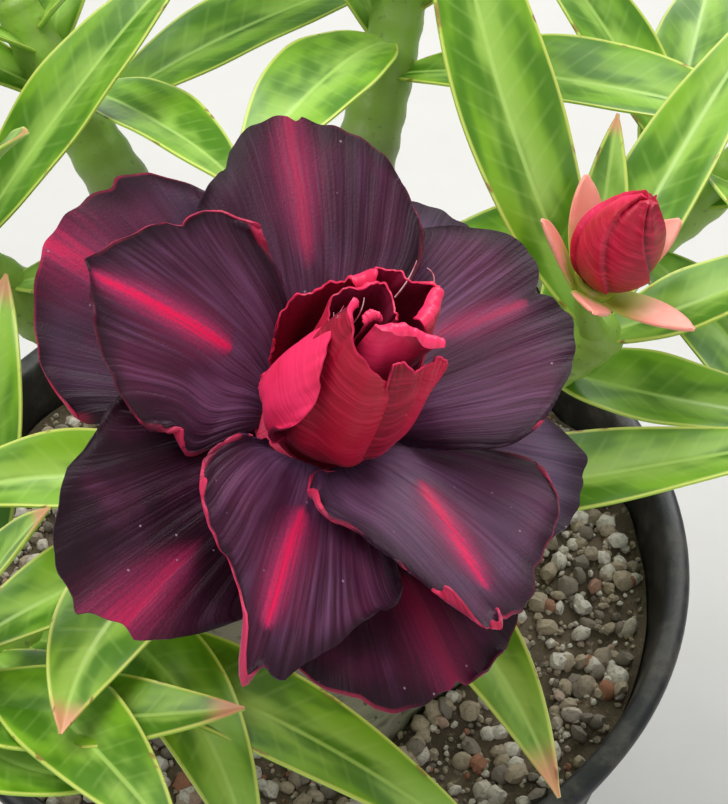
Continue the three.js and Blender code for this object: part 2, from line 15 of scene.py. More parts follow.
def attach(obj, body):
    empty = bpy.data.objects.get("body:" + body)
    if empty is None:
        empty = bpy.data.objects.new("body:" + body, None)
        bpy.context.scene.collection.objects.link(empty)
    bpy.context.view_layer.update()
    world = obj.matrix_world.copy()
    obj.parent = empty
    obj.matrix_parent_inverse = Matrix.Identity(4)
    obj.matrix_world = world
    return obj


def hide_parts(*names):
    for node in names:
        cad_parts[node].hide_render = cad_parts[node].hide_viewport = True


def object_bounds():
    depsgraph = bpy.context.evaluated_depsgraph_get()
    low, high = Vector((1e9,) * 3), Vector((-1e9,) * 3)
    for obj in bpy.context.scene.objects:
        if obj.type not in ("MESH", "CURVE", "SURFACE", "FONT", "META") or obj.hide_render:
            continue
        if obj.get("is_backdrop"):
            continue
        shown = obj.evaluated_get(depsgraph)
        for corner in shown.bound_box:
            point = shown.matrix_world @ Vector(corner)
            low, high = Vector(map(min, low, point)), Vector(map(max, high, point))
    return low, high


bl_info = {
    "name": "Potted desert rose",
    "version": (1, 0, 0),
    "blender": (4, 5, 0),
    "location": "View3D > Sidebar > Desert rose",
    "description": "Builds the bloom, bud, leafy shoots, caudex, gritty mix and nursery pot",
    "category": "Object",
}

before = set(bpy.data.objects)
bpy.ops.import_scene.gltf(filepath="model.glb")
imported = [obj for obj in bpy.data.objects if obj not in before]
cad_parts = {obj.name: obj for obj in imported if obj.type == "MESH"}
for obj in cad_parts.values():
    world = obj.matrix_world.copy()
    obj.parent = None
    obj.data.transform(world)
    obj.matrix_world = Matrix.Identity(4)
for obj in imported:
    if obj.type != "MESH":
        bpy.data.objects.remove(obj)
CAD_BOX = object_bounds()
BODY = "root"
MM = 0.001
SEED = 11

# ---------------------------------------------------------------- sizes of the plant, mm

GAP = 0.3
POT_HEIGHT = 122.0
POT_TOP_RADIUS = 74.0
POT_FOOT_RADIUS = 54.0
POT_WALL = 1.6
POT_FLOOR = 2.4
RIM_OVERHANG = 3.2
RIM_HEIGHT = 7.0
DRAIN_HOLES = 6
DRAIN_RADIUS = 5.0
DRAIN_CIRCLE = 38.0
ON_AXIS = 0.2

MIX_LEVEL = 109.0
MIX_RELIEF = 0.9

CAUDEX_FOOT = 66.0
CAUDEX_TOP = 168.0
CAUDEX_RADII = (20, 26, 31.5, 35.5, 38, 37.5, 34, 28, 21.5, 15.5)
CAUDEX_VOXEL = 0.8
ROOT_LEVEL = 105.0
ROOT_SPREAD = 10.0
ROOT_HEIGHT = 12.0
ROOT_BREADTH = 15.0
ROOT_ANGLES = (20, 82, 158, 214, 287)

NECK = (0, -3, 150)
BRANCH_RADII = (10, 8.6, 7.4, 6.6, 6.2)
WOOD_SHARE = 0.56
STEM_STEPS = 40
SHOOT_RADII = (5.9, 5.5, 5.1, 4.7, 4.1)
SHOOT_END = ((0.9, 3.5), (1.6, 2.4), (2.0, 0.8))
LEAF_STATIONS = (0.62, 0.985)

LEAF_FOLD = math.radians(18)
LEAF_WAVE = 0.03
LEAF_ARCH = 0.16
LEAF_ROLL = 8.0
LEAF_TIP_WIDTH = 1.0
PETIOLE_WIDTH = 2.6
GOLDEN_ANGLE = 137.5

BUD_LENGTH = 18.0
BUD_RADIUS = 6.8
BUD_SHAPE = (0.4, 0.78, 0.96, 1, 0.93, 0.76, 0.5, 0.2)
BUD_TWIST = 1.4
TUBE_PROFILE = ((2.2, -30), (2.8, -24), (5.4, -15), (8, -8), (10.4, -3.4), (12.2, -0.6))
TUBE_HOLLOW = ((8.6, -2.2), (5.8, -8.5), (0.4, -11))
STALK_RADII = (3.2, 2.2, 1.9, 1.9)
CUP_PROFILE = ((1.8, -2.8), (3.0, -1.8), (3.5, -0.8), (3.6, 0))
SEPAL_THICKNESS = 0.8
SEPALS = 5

# How many faces a petal or leaf has across and along it
PETAL_GRID = (96, 44)
HEART_GRID = (96, 60)
LEAF_GRID = (18, 56)
SEPAL_GRID = (14, 26)

BLOOM = {
    "origin": (8.3, -60.9, 237),
    "axis": (0.314, -0.198, 0.929),
    "foot": TUBE_PROFILE[0][1],
    "sepals": {"length": 9, "width": 4, "leans": (14, 14, 14, 14, 14)},
}
BUD = {
    "origin": (51.9, -27.3, 236.1),
    "axis": (0.34, -0.02, 0.94),
    "foot": -BUD_LENGTH / 2,
    "sepals": {"length": 15, "width": 6.5, "leans": (40, 46, 40, 50, 62)},
}

# A leaf leaves its stem at a station (0 foot, 1 end), passes under its bend and ends in its tip.
# Leaves in a spiral follow its turn, and their rise, length and width change from first to last.
SHOOTS = (
    {"name": "leafy_shoot_1", "flower": BLOOM, "tip": (-3, -51, 197), "lift": 16, "leaves": (
        (0.95, (-28, -66, 203), (-30, -93, 203), 17),
        (0.75, (-28, -41, 206), (-56, -55, 206), 16),
        (0.5, (-29, -58, 197), (-50, -75, 194), 15),
        (0.85, (29, -56, 200), (42, -94, 187), 14),
        (0.65, (44, -45, 199), (88, -39, 204), 16))},
    {"name": "leafy_shoot_2", "flower": BUD, "tip": (51, -25, 213), "lift": 18, "leaves": (
        (0.98, (31, -8, 246), (25, 36, 267), 17),
        (0.93, (66, -25, 219), (90, -15, 224), 12),
        (0.88, (58, -4, 222), (85, 31, 240), 14),
        (0.98, (51, -8, 220), (54, 5, 232), 8),
        (0.5, (58, -26, 198), (96, -26, 189), 15)),
     "spiral": {"count": 2, "turn": 60, "rise": (0, 10), "length": (66, 54), "width": (16, 13)}},
    {"name": "leafy_shoot_3", "tip": (-58, -76, 186), "lift": 14, "leaves": (
        (0.97, (-31, -88, 195), (-4, -88, 202), 15),
        (0.9, (-41, -93, 188), (-22, -94, 192), 14),
        (0.15, (-14, -63, 194), (-2, -102, 172), 15),
        (0.35, (-8, -69, 188), (37, -97, 168), 16)),
     "spiral": {"count": 5, "turn": 168, "rise": (5, 68), "length": (74, 52), "width": (17, 12)}},
    {"name": "leafy_shoot_4", "tip": (-62, 4, 208), "lift": 20,
     "spiral": {"count": 8, "turn": 208, "rise": (0, 68), "length": (80, 54), "width": (18, 13)}},
    {"name": "leafy_shoot_5", "tip": (22, 60, 224), "lift": 24,
     "spiral": {"count": 8, "turn": 334, "rise": (8, 50), "length": (82, 56), "width": (18, 13)}},
    {"name": "leafy_shoot_6", "tip": (82, 30, 198), "lift": 18,
     "spiral": {"count": 7, "turn": 298, "rise": (-8, 50), "length": (76, 54), "width": (17, 13)}},
    {"name": "leafy_shoot_7", "tip": (-50, 54, 214), "lift": 22,
     "spiral": {"count": 7, "turn": 30, "rise": (0, 60), "length": (78, 54), "width": (17, 13)}},
)

# Petals of the two dark whorls, with the source's azimuth, width and profile. t runs from -1 at
# the left edge to 1 at the right, and s from 0 at the root to 1 at the tip. margin is (t, share
# of the petal's length). wide_ and high_ say how far a side stands out and up (mm) from root to
# tip, rim_ how pink its rim is, and left, right and end how much of a margin is rolled up (mm).
# stripe holds (t, s) of its inner and outer end, its half width (mm), its strength, and its skew
# towards the outer end. fold is (t, degrees). blush tints the whole petal, dusk lays painted shade
# over it where other petals shade it, and pale lays a painted lilac sheen over it.
MIDDLE_WHORL = {"roll": 13.0, "wave": 0.9}
OUTER_WHORL = {"roll": 10.0, "wave": 1.2}
PETAL_ROOT_WIDTH = 8.0
PETAL_SHOULDER = 0.36
PETAL_SLACK = 1.04
PETALS = (
    {"azimuth": 103, "width": 31.5, "profile": (7.6, -4, 13, 6, 42.5, 9),
     "margin": ((-0.2, 0.99), (-0.08, 1), (-0.05, 0.985), (0, 1), (0.3, 1), (0.38, 0.98),
                (0.42, 0.94), (0.47, 0.96), (1, 0.97)),
     "wide_left": (0, 0, 0, 1.2, 0.8, 0), "stripe": (0.01, 0.5, 0, 1.03, 1.7, 0.46, 1.7),
     "rim_left": (0, 0.1, 0.1), "blush": 0.5, "dusk": 0.25},
    {"azimuth": 163, "width": 31.5, "profile": (7.6, -4, 13, 6, 37, 9),
     "margin": ((-1, 0.86), (-0.84, 0.9), (-0.8, 0.99), (-0.56, 0.94), (-0.47, 0.91),
                (-0.44, 0.97), (-0.3, 0.99), (0, 1.04), (0.12, 1), (0.41, 0.99), (0.6, 0.95),
                (0.84, 0.93), (1, 0.86)),
     "wide_right": (0, 1, 3.8, 1, 0.6, 0), "stripe": (-0.01, 0.44, 0.05, 1.04, 1.15, 1.0, 0.8),
     "left": (0, 0, 0, 0.2, 1.2, 0.8), "right": (0, 0.1, 0.9, 1.4, 1.2, 0),
     "end": (0.8, 0.6, 0.9, 1, 0.3, 0), "rim_left": (0, 0, 0.1, 0.2, 0.8, 0.6),
     "rim_right": (0, 0, 0.6, 0.9, 0.3, 0.1), "blush": 0.5},
    {"azimuth": 258, "width": 31, "profile": (7.6, -4, 13, 6, 42.5, 5),
     "margin": ((-1, 0.85), (-0.68, 0.84), (-0.44, 0.83), (-0.3, 0.88), (-0.22, 0.95),
                (-0.18, 1.07), (-0.14, 1.09), (-0.08, 1.03), (-0.03, 1.01), (0.08, 1.02),
                (0.17, 0.965), (0.32, 0.93), (0.49, 0.86), (0.62, 0.83), (0.8, 0.86), (1, 0.88)),
     "wide_left": (0.5, 1, 1.8, 2, 1, 0), "stripe": (-0.04, 0.47, -0.1, 0.93, 1.2, 0.92, 1.1),
     "left": (0.9, 1.8, 1.2, 0.5, 0.4, 0.7),
     "end": (0.6, 0.6, 0.4, 0.7, 1.1, 0.7, 0.7, 1, 2.6, 2, 0.2, 0, 0, 0, 0, 0, 0, 0, 0, 0, 0),
     "rim_left": (1, 1, 0.6, 0.3, 0.7, 1), "blush": 0.4},
    {"azimuth": 312, "width": 35, "profile": (7.6, -4, 13, 6, 41, 6),
     "margin": ((-1, 1.22), (-0.8, 1.19), (-0.55, 1.14), (-0.44, 1.08), (-0.34, 0.99), (-0.08, 0.97),
                (0.08, 0.95), (0.2, 0.91), (0.39, 0.92), (0.68, 0.97), (1, 1.03)),
     "wide_left": (1, 3.2, 3.8, 3.8, 2, -1.2, -3.1, -4.3, -5.2, -6, -6.6),
     "high_left": (1, 1, 0.5, 0, 0, 0, 0, 0, 0, 0, 0),
     "wide_right": (0, 0.5, 1.2, 1.9, 3, 1.4),
     "stripe": (0.11, 0.4, -0.2, 0.88, 1.2, 0.82, 1.1),
     "left": (1.2, 2.2, 2.6, 2.4, 1.4, 0, 0, 0, 0, 0, 0),
     "end": (0.1, 0.3, 0.8, 2.6, 0.6, 2.8, 3.4, 0.4, 0, 0, 0, 0, 0, 0, 0, 0, 0, 0, 0, 0, 0),
     "rim_left": (1, 1, 0.7, 0, 0, 0.5), "rim_right": (0, 0, 0.2, 0.2), "blush": 0.35, "pale": 0.2},
    {"azimuth": 31, "width": 40, "profile": (7.6, -4, 13, 6, 37.5, 9),
     "margin": ((-1, 0.86), (-0.69, 0.89), (-0.45, 0.96), (-0.13, 0.99), (0.01, 0.97),
                (0.06, 0.94), (0.13, 0.99), (0.22, 1.03), (0.43, 1.075), (0.67, 1.045),
                (1, 0.95)),
     "wide_left": (0, 0, -0.3, -0.6, -1.9, -3), "stripe": (0.12, 0.5, 0.03, 0.9, 1.2, 0.4, 1.0),
     "blush": 0.3},
    {"azimuth": 148, "width": 35, "profile": (7.6, -7, 14, -2, 46, 0), "outer": True,
     "margin": ((-1, 0.95), (-0.68, 0.98), (-0.5, 1.02), (-0.32, 1.01), (-0.26, 0.99),
                (-0.2, 1), (0.5, 1), (0.75, 1.03), (1, 1)),
     "wide_right": (0, 0, 0.8, 1.5, 2.1, 2), "stripe": (0.06, 0.7, 0.17, 1.06, 2.4, 0.72, 1.8),
     "fold": (0.24, 26), "rim_left": (0, 0, 0.3), "rim_right": (0, 0, 0.2, 0.5), "blush": 0.9,
     "dusk": 0.3, "pale": 0.25},
    {"azimuth": 222, "width": 35, "profile": (7.6, -7, 14, -2, 47, -2), "outer": True,
     "margin": ((-1, 0.75), (-0.7, 0.82), (-0.59, 0.87), (-0.54, 0.95), (-0.2, 0.99),
                (0.05, 0.99), (0.12, 1.02), (0.15, 1), (0.28, 0.98), (0.4, 1.01), (0.52, 0.98),
                (0.62, 0.91), (0.75, 0.8), (1, 0.7)),
     "stripe": (0.17, 0.62, 0.33, 1.12, 2.3, 0.62, 2.0), "blush": 0.35, "dusk": 0.95},
    {"azimuth": 292, "width": 42, "profile": (7.6, -7, 14, -2, 44, -4), "outer": True,
     "margin": ((-1, 1.04), (-0.6, 1.04), (-0.47, 1.02), (-0.36, 0.99), (-0.29, 1.01),
                (-0.1, 1), (0.05, 0.98), (0.11, 0.98), (0.15, 0.96), (0.19, 0.99), (0.4, 0.99),
                (0.69, 1.04), (1, 1.02)),
     "end": (0, 0.5, 0, 0, 0, 0.2, 1.8, 0, 0, 0), "rim_left": (0, 0.1, 0.3),
     "rim_right": (0, 0.1, 0.1), "stripe": (0.08, 0.62, 0.14, 1.0, 2.4, 0.32, 1.2),
     "blush": 0.5, "dusk": 0.95},
    {"azimuth": 346, "width": 34, "profile": (7.6, -7, 14, -2, 41.5, -3), "outer": True,
     "margin": ((-0.3, 0.9), (-0.03, 0.96), (0.27, 0.99), (0.43, 1.045), (0.6, 1.055),
                (1, 1.05)), "pale": 0.75, "blush": 0.2},
    {"azimuth": 66, "width": 33, "profile": (7.6, -7, 14, -2, 41, 0), "outer": True,
     "margin": ((-1, 1), (0, 0.98), (1, 0.98)), "pale": 0.6, "blush": 0.2},
)
CURL_RADIUS = 0.9
CURL_TURN = 2.6
NO_STRIPE = (0, 0.7, 0, 1, 1, 0, 1)

# Petals of the heart: the azimuths of the foot, the radius of the belly, the margin as
# (azimuth, radius, height), how far the margin rolls over (mm, outwards is positive), how pink
# the outer face is, with a painted highlight where it is lit (bright), and how much painted shade
# lies on it (shade), all from one edge to the other. folds is the depth of the soft dents (mm), and
# ruffled is how crinkled the margin is.
HEART_FOOT_RADIUS = 8.8
HEART_FOOT_HEIGHT = 1.0
HEART_ROLL_TURN = 2.4
HEART_ROLL_RADIUS = 0.8
HEART_FOLDS = 0.18
HEART_ROOT = ((3, -12), (6.2, -2), (8.4, 1), (8.6, 2.4))
HEART_PETALS = (
    {"foot": (190, 302), "belly": (9.1, 10.9, 10.2), "shade": (1, 0.8, 0.6, 0.3, 0.1, 0.4),
     "folds": 0.5,
     "roll": (0, 0.4, 1.5, 1.2, 0.2, 0, 0.1, 0.3, 0.3, 0), "margin": (
        (171, 5.5, 21), (160, 5.5, 23), (149, 4.6, 24.8), (181, 4.8, 24.6), (208, 4.9, 23.8),
        (250, 5.2, 22.4), (282, 6.3, 20.6), (300, 7.6, 17.8), (312, 9.6, 14), (316, 10.4, 9))},
    {"foot": (178, 222), "belly": (10.9, 12.2, 11.4), "bright": (1, 1),
     "roll": (0, 0, 0, 0, 0.3, 0.5, 0.1), "margin": (
        (176, 10.9, 5), (167, 9.2, 10.5), (166, 7.5, 17), (176, 6.5, 20.8), (200, 7.3, 21.2),
        (217, 8.8, 19), (229, 10.7, 16), (228, 12.2, 10.5), (219, 12.4, 6.8), (209, 11.3, 4.0))},
    {"foot": (80, 155), "belly": (10.6, 10.8, 10.4),
     "roll": (-1.5, -5, -3, -0.2, -0.5, -0.2, -0.6, -0.2, -0.4, -0.1, -0.3, -0.1, -0.1), "margin": (
        (92, 10.2, 21.8), (104, 10.2, 19.4), (117, 10.5, 18.4), (128, 11.2, 16.3), (137, 12.4, 14),
        (146, 12.8, 10.5), (149, 11.2, 6.5))},
    {"foot": (284, 335), "belly": (10.4, 10.6, 10), "bright": (0, 0.1, 0.3, 0.5),
     "shade": (0.9, 0.8, 0.5, 0.15, 0, 0), "roll": (0.3, 0.6, 0.3, 0.6, 0.2), "margin": (
        (286, 5, 22.6), (300, 5.4, 23.2), (316, 7, 22.2), (328, 7.4, 22.6), (337, 8.2, 23.8),
        (341, 9.4, 22.6), (339, 9.9, 19.2))},
    {"foot": (-5, 105), "belly": (9.4, 9.8, 9.8),
     "roll": (-3.2, -2.8, -2.4, -1, -0.4, -0.2, -0.3), "margin": (
        (-2, 5, 25.9), (15, 6.6, 25.8), (30, 8.4, 25.2), (42, 10.4, 24.8), (53, 9.2, 24.6),
        (66, 8.7, 24), (80, 9.6, 23.2), (94, 10.2, 21.8))},
    {"foot": (215, 362), "belly": (5.6, 5.6, 6.4), "bright": (0.6, 1, 1, 0.5, 0.1, 0),
     "shade": (0.6, 0.1, 0.1, 0.6, 1, 1), "roll": (0.8, 2.2, 2.6, 2.0, 2.6, 1.8), "ruffled": 0.4, "margin": (
        (212, 2.4, 26.2), (262, 1.5, 27), (325, 1.8, 26.8), (342, 3.4, 26.1), (346, 5.6, 25.7),
        (349, 7.6, 25.8))},
    {"foot": (45, 168), "belly": (5, 7.4, 7.2), "roll": (-0.4, -0.3, -0.8, 0, 0.4), "margin": (
        (34, 1.8, 24.5), (60, 2.8, 24.5), (80, 5.2, 24), (97, 7, 24), (119, 6.3, 23.5),
        (132, 8, 22.4), (150, 7.3, 20.5), (163, 6.3, 19))},
    {"foot": (140, 180), "belly": (3, 3, 3), "bright": (0.8, 0.8), "ruffled": 0.4,
     "roll": (0.6, 1.6, 1.8, 1), "margin": ((120, 0.8, 23.6), (158, 1.7, 24.2), (186, 2.6, 24))},
)

# Stamen hairs in the bloom's frame: each from its foot by its bend to its tip
STAMEN_HAIRS = (
    ((-5.6, 0.2, 16), (-6.2, 0.6, 20), (-5.4, 2.6, 23.4)),
    ((-5.7, -0.3, 16), (-5.4, 0.4, 20), (-5.9, 1.5, 22.6)),
    ((-5.4, 0.8, 17), (-5.6, 1.0, 20), (-6.3, 2.2, 22)),
    ((-4.0, 1.2, 20), (-3.2, 0.6, 24.6), (-3.6, 2.4, 26.6)),
    ((2.6, 6.8, 21), (3.4, 7.4, 24.6), (3.8, 9.6, 26.4)),
    ((7.2, 7.4, 22), (7.4, 8.6, 25.4), (5.4, 9.0, 26)),
)
HAIR_RADII = (0.13, 0.05)
HAIR_STEPS = 13


def linear(hex_colour):
    """sRGB hex to linear red, green and blue, with full alpha."""
    parts = [int(hex_colour[k:k + 2], 16) / 255 for k in (1, 3, 5)]
    return (*(c / 12.92 if c <= 0.04045 else ((c + 0.055) / 1.055) ** 2.4 for c in parts), 1.0)


def colour(name, description, hex_colour):
    """A colour that the user may change, from its sRGB hex."""
    return FloatVectorProperty(
        name=name, description=description, subtype="COLOR", size=4, min=0, max=1,
        default=linear(hex_colour))


def length(name, description, millimetres):
    """A length that the user may change."""
    return FloatProperty(
        name=name, description=description, default=millimetres * MM, min=0, unit="LENGTH",
        precision=5)


# ---------------------------------------------------------------- settings

class DesertRoseBloomSettings(bpy.types.PropertyGroup):
    """Sizes and colours of the bloom and the bud"""

    petal_thickness: length("Petal thickness", "Thickness of a dark petal's middle", 0.7)
    heart_thickness: length("Heart thickness", "Thickness of a heart petal's middle", 0.6)
    pleat_height: length("Pleat height", "Height of the fine pleats that fan out of the throat", 0.11)
    crinkle: length("Crinkle", "Rise and fall of the petals' margins", 0.4)
    velvet: colour("Velvet", "Upper face of the dark petals", "#3a1029")
    # The velvet's lilac sheen painted into its colour: the paler streaks between the veins and the lit roots
    # of the petals
    velvet_sheen: colour("Velvet streaks", "Paler streaks between the veins", "#7a4e72")
    # Near-black maroon: the dark streaks between the veins, the darkening towards the margins, and the
    # painted shade over petals that others shade
    velvet_dark_and_shade: colour("Velvet shade", "Near-black maroon towards the margins", "#1b0510")
    blush: colour("Blush", "Warm blush towards the petals' ends", "#64183a")
    stripe: colour("Stripe", "Crimson stripe along the middle of a petal", "#de0a4b")
    reverse: colour("Reverse", "Lower face and rolled margins of the dark petals", "#d0355a")
    heart: colour("Heart", "Outer face of the heart's petals", "#c20a31")
    heart_light: colour("Heart ridges", "Lit ridges of the heart's petals", "#e23457")
    # Pink of the thin margins and flaps, also laid on as a painted highlight where a flap or the bud's lobe
    # is lit
    heart_bright: colour("Heart margins", "Thin margins and flaps of the heart's petals", "#f62f63")
    heart_shade: colour("Heart shade", "Inner face of the heart's petals", "#7c1232")


class DesertRoseLeafSettings(bpy.types.PropertyGroup):
    """Sizes and colours of the leafy shoots"""

    thickness: length("Leaf thickness", "Thickness of a leaf's middle", 0.8)
    vein_spacing: length("Vein spacing", "Distance between the side veins", 4.2)
    blade: colour("Blade", "Upper face of a leaf", "#4e8010")
    blade_light: colour("Blade light", "Paler patches between the veins", "#82b424")
    midrib: colour("Midrib", "Midrib and side veins", "#b2d66a")
    margin: colour("Margin", "Thin yellow-green margin", "#cfdb68")
    tip: colour("Tip", "Blushed tip of a leaf", "#dd8f74")
    sepal: colour("Sepal", "Blushed sepals under the bud", "#f29a86")
    stem: colour("Stem", "Green stem", "#86a546")


class DesertRoseWoodSettings(bpy.types.PropertyGroup):
    """Sizes and colours of the caudex"""

    wrinkle: length("Wrinkle depth", "Depth of the bark's wrinkles", 0.45)
    bark: colour("Bark", "Smooth bark", "#8d8672")
    # Darker bark: painted shade in the wrinkles, and the dark pores
    bark_shade_and_pores: colour("Bark shade", "Bark in wrinkles and scars", "#5b5546")
    bark_green: colour("Green skin", "Green skin that shows through thin bark", "#7d8a5a")


class DesertRosePotSettings(bpy.types.PropertyGroup):
    """Sizes and colours of the pot and its mix"""

    grit_size: length("Grit size", "Largest stones of the gritty mix", 4.6)
    stones: IntProperty(name="Stones", description="Number of large stones", default=900, min=0)
    grains: IntProperty(name="Grains", description="Number of small grains", default=2600, min=0)
    plastic: colour("Plastic", "Black plastic of the pot", "#17181a")
    mix: colour("Mix", "Moist fines between the stones", "#6f6250")
    stone: colour("Stone", "Tan stones", "#a99a83")
    stone_pale: colour("Pale stone", "Pale pumice stones", "#cdc6b8")


class DesertRoseStageSettings(bpy.types.PropertyGroup):
    """Floor, light and camera"""

    elevation: FloatProperty(
        name="Elevation", description="Height angle of the camera", default=math.radians(50),
        subtype="ANGLE")
    distance: length("Distance", "From the camera to the point it looks at", 312.7)
    lens: FloatProperty(name="Lens", description="Focal length", default=100, unit="CAMERA")
    floor: colour("Floor", "Plain pale floor", "#cfcdc8")
    key_power: FloatProperty(
        name="Key light", description="Power of the large soft light", default=13, unit="POWER")


SETTINGS = {
    "desert_rose_bloom": DesertRoseBloomSettings,
    "desert_rose_leaf": DesertRoseLeafSettings,
    "desert_rose_wood": DesertRoseWoodSettings,
    "desert_rose_pot": DesertRosePotSettings,
    "desert_rose_stage": DesertRoseStageSettings,
}


# ---------------------------------------------------------------- shaping helpers


def unit(v):
    """Vectors at length 1."""
    return v / np.maximum(np.linalg.norm(v, axis=-1, keepdims=True), 1e-9)


def lerp(a, b, u):
    """a at u = 0, b at u = 1 and straight between."""
    return a + (b - a) * u


def ease(u):
    """0 below 0, 1 above 1 and smooth between."""
    u = np.clip(u, 0, 1)
    return u * u * (3 - 2 * u)


def along(values, u):
    """Value at u (0 to 1) on a smooth line through evenly spaced values."""
    u = np.asarray(u, float)
    stack = np.stack([np.broadcast_to(np.asarray(v, float), u.shape) for v in values])
    last = len(values) - 1
    place = np.clip(u, 0, 1) * last
    i = np.minimum(place.astype(int), last - 1)
    f = place - i

    def at(k):
        return np.take_along_axis(stack, np.clip(k, 0, last)[None], 0)[0]

    slope_in = (at(i + 1) - at(i - 1)) / 2
    slope_out = (at(i + 2) - at(i)) / 2
    rise = at(i + 1) - at(i)
    bend = 3 * rise - 2 * slope_in - slope_out + f * (slope_in + slope_out - 2 * rise)
    return at(i) + f * (slope_in + f * bend)


def bezier(controls, u):
    """Points on a Bezier curve, found by stepping between its control points."""
    points = [np.broadcast_to(np.asarray(c, float), np.shape(u) + (3,)) for c in controls]
    share = np.asarray(u, float)[..., None]
    while len(points) > 1:
        points = [lerp(a, b, share) for a, b in zip(points, points[1:])]
    return points[0]


def run_of(line):
    """Length from the start of a line to each of its points."""
    return np.concatenate([[0], np.cumsum(np.linalg.norm(np.diff(line, axis=0), axis=1))])


def evenly(controls, shares, steps=400):
    """Points at shares of a Bezier curve's length."""
    line = bezier(controls, np.linspace(0, 1, steps + 1))
    run = run_of(line)
    want = np.clip(shares, 0, 1) * run[-1]
    return np.stack([np.interp(want, run, line[:, k]) for k in range(3)], -1)


def placed(name, data):
    """A new object in the scene."""
    made = bpy.data.objects.new(name, data)
    bpy.context.scene.collection.objects.link(made)
    return made


class Shape:
    """Points (mm), faces and paint of one piece, gathered from its bodies."""

    def __init__(self):
        self.points = []
        self.faces = []
        self.slots = []
        self.paint = []
        self.count = 0

    def add(self, points, faces, slot=0, **paint):
        """Adds a body, with a number for each point, or one for all, under each paint's name."""
        points = np.reshape(points, (-1, 3))
        for face in faces:
            face = np.asarray(face, int) + self.count
            self.faces += face.tolist()
            self.slots += [slot] * len(face)
        self.points.append(points)
        self.paint.append((len(points), paint))
        self.count += len(points)

    def object(self, name):
        """The bare shape as an object in metres."""
        mesh = bpy.data.meshes.new(name)
        mesh.from_pydata((np.concatenate(self.points) * MM).tolist(), [], self.faces)
        return placed(name, mesh)

    def piece(self, name, materials, slot, *nodes, sharp=60):
        """The finished piece: it rides on the part and stands for the nodes it replaces."""
        made = self.object(name)
        mesh = made.data
        mesh.polygons.foreach_set("material_index", self.slots)
        mesh.shade_smooth()
        mesh.set_sharp_from_angle(angle=math.radians(sharp))
        for key in sorted({key for _, paint in self.paint for key in paint}):
            values = [np.broadcast_to(np.ravel(paint.get(key, 0.0)), n) for n, paint in self.paint]
            layer = mesh.attributes.new(key, "FLOAT", "POINT")
            layer.data.foreach_set("value", np.concatenate(values).astype(np.float32))
        for material in materials:
            mesh.materials.append(material)
        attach(made, BODY)
        if nodes:
            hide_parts(*nodes)
        return made


def set_in(points, place):
    """Points of a flower's frame, given as (axes, origin), in the part's frame."""
    axes, origin = place
    return points @ axes.T + origin


def blade(shape, surface, grid, thickness, under=0.0, slot=0, edge=0.45, place=None, **paint):
    """A closed thin blade with thin margins. under is the paint of the face it is drawn on."""
    across, rows = grid
    t, s = np.meshgrid(np.linspace(-1, 1, across + 1), np.linspace(0, 1, rows + 1))
    middle, marks = surface(t, s)
    normal = unit(np.cross(np.gradient(middle, axis=1), np.gradient(middle, axis=0)))
    margin = np.maximum(np.abs(t) ** 10, s ** 14)
    half = (thickness / 2 * lerp(1, edge, margin))[..., None]
    layers = np.stack([middle + normal * half, middle - normal * half])
    if place is not None:
        layers = set_in(layers, place)
    index = np.arange((across + 1) * (rows + 1)).reshape(rows + 1, across + 1)
    corners = (index[:-1, :-1], index[:-1, 1:], index[1:, 1:], index[1:, :-1])
    a, b, c, d = (corner.ravel() for corner in corners)
    base = index.size
    rim = np.concatenate([index[0, :-1], index[:-1, -1], index[-1, :0:-1], index[:0:-1, 0]])
    following = np.roll(rim, -1)
    faces = (
        np.stack([a, b, c, d], 1),
        base + np.stack([a, d, c, b], 1),
        np.stack([base + rim, base + following, following, rim], 1),
    )
    marks = {key: np.stack([value, value]) for key, value in marks.items()}
    bare = marks.pop("dark_rim", 0.0)
    sides = np.stack([np.full(t.shape, under), np.full(t.shape, 1 - under)])
    shape.add(layers, faces, slot, under=sides * (1 - bare), **marks, **paint)


def ring_body(shape, rings, slot=0, **paint):
    """A closed body through rings of points, each counter-clockwise seen from its far end."""
    rings = np.asarray(rings)
    count, sides = rings.shape[:2]
    index = np.arange(count * sides).reshape(count, sides)
    a, b = index[:-1], np.roll(index[:-1], -1, axis=1)
    c, d = np.roll(index[1:], -1, axis=1), index[1:]
    quads = np.stack([a.ravel(), b.ravel(), c.ravel(), d.ravel()], 1)
    first, last = index.size, index.size + 1
    ends = np.stack([rings[0].mean(0), rings[-1].mean(0)])
    start = np.stack([np.full(sides, first), np.roll(index[0], -1), index[0]], 1)
    finish = np.stack([np.full(sides, last), index[-1], np.roll(index[-1], -1)], 1)
    marks = {}
    for key, value in paint.items():
        if np.ndim(value):
            value = np.broadcast_to(value, rings.shape[:2])
            value = np.concatenate([value.ravel(), [value[0].mean(), value[-1].mean()]])
        marks[key] = value
    points = np.concatenate([rings.reshape(-1, 3), ends])
    shape.add(points, (quads, start, finish), slot, **marks)


def ring(radius, height, angle):
    """Points round +Z at a radius, height and angle (radians), which may each be an array."""
    return np.stack(np.broadcast_arrays(radius * np.cos(angle), radius * np.sin(angle), height), -1)


def turned(profile, sides):
    """Rings of a body turned about +Z through (radius, height) points, from its foot up."""
    angle = np.linspace(0, 2 * math.pi, sides, endpoint=False)
    radius, height = np.asarray(profile, float).T[..., None]
    return ring(radius, height, angle)


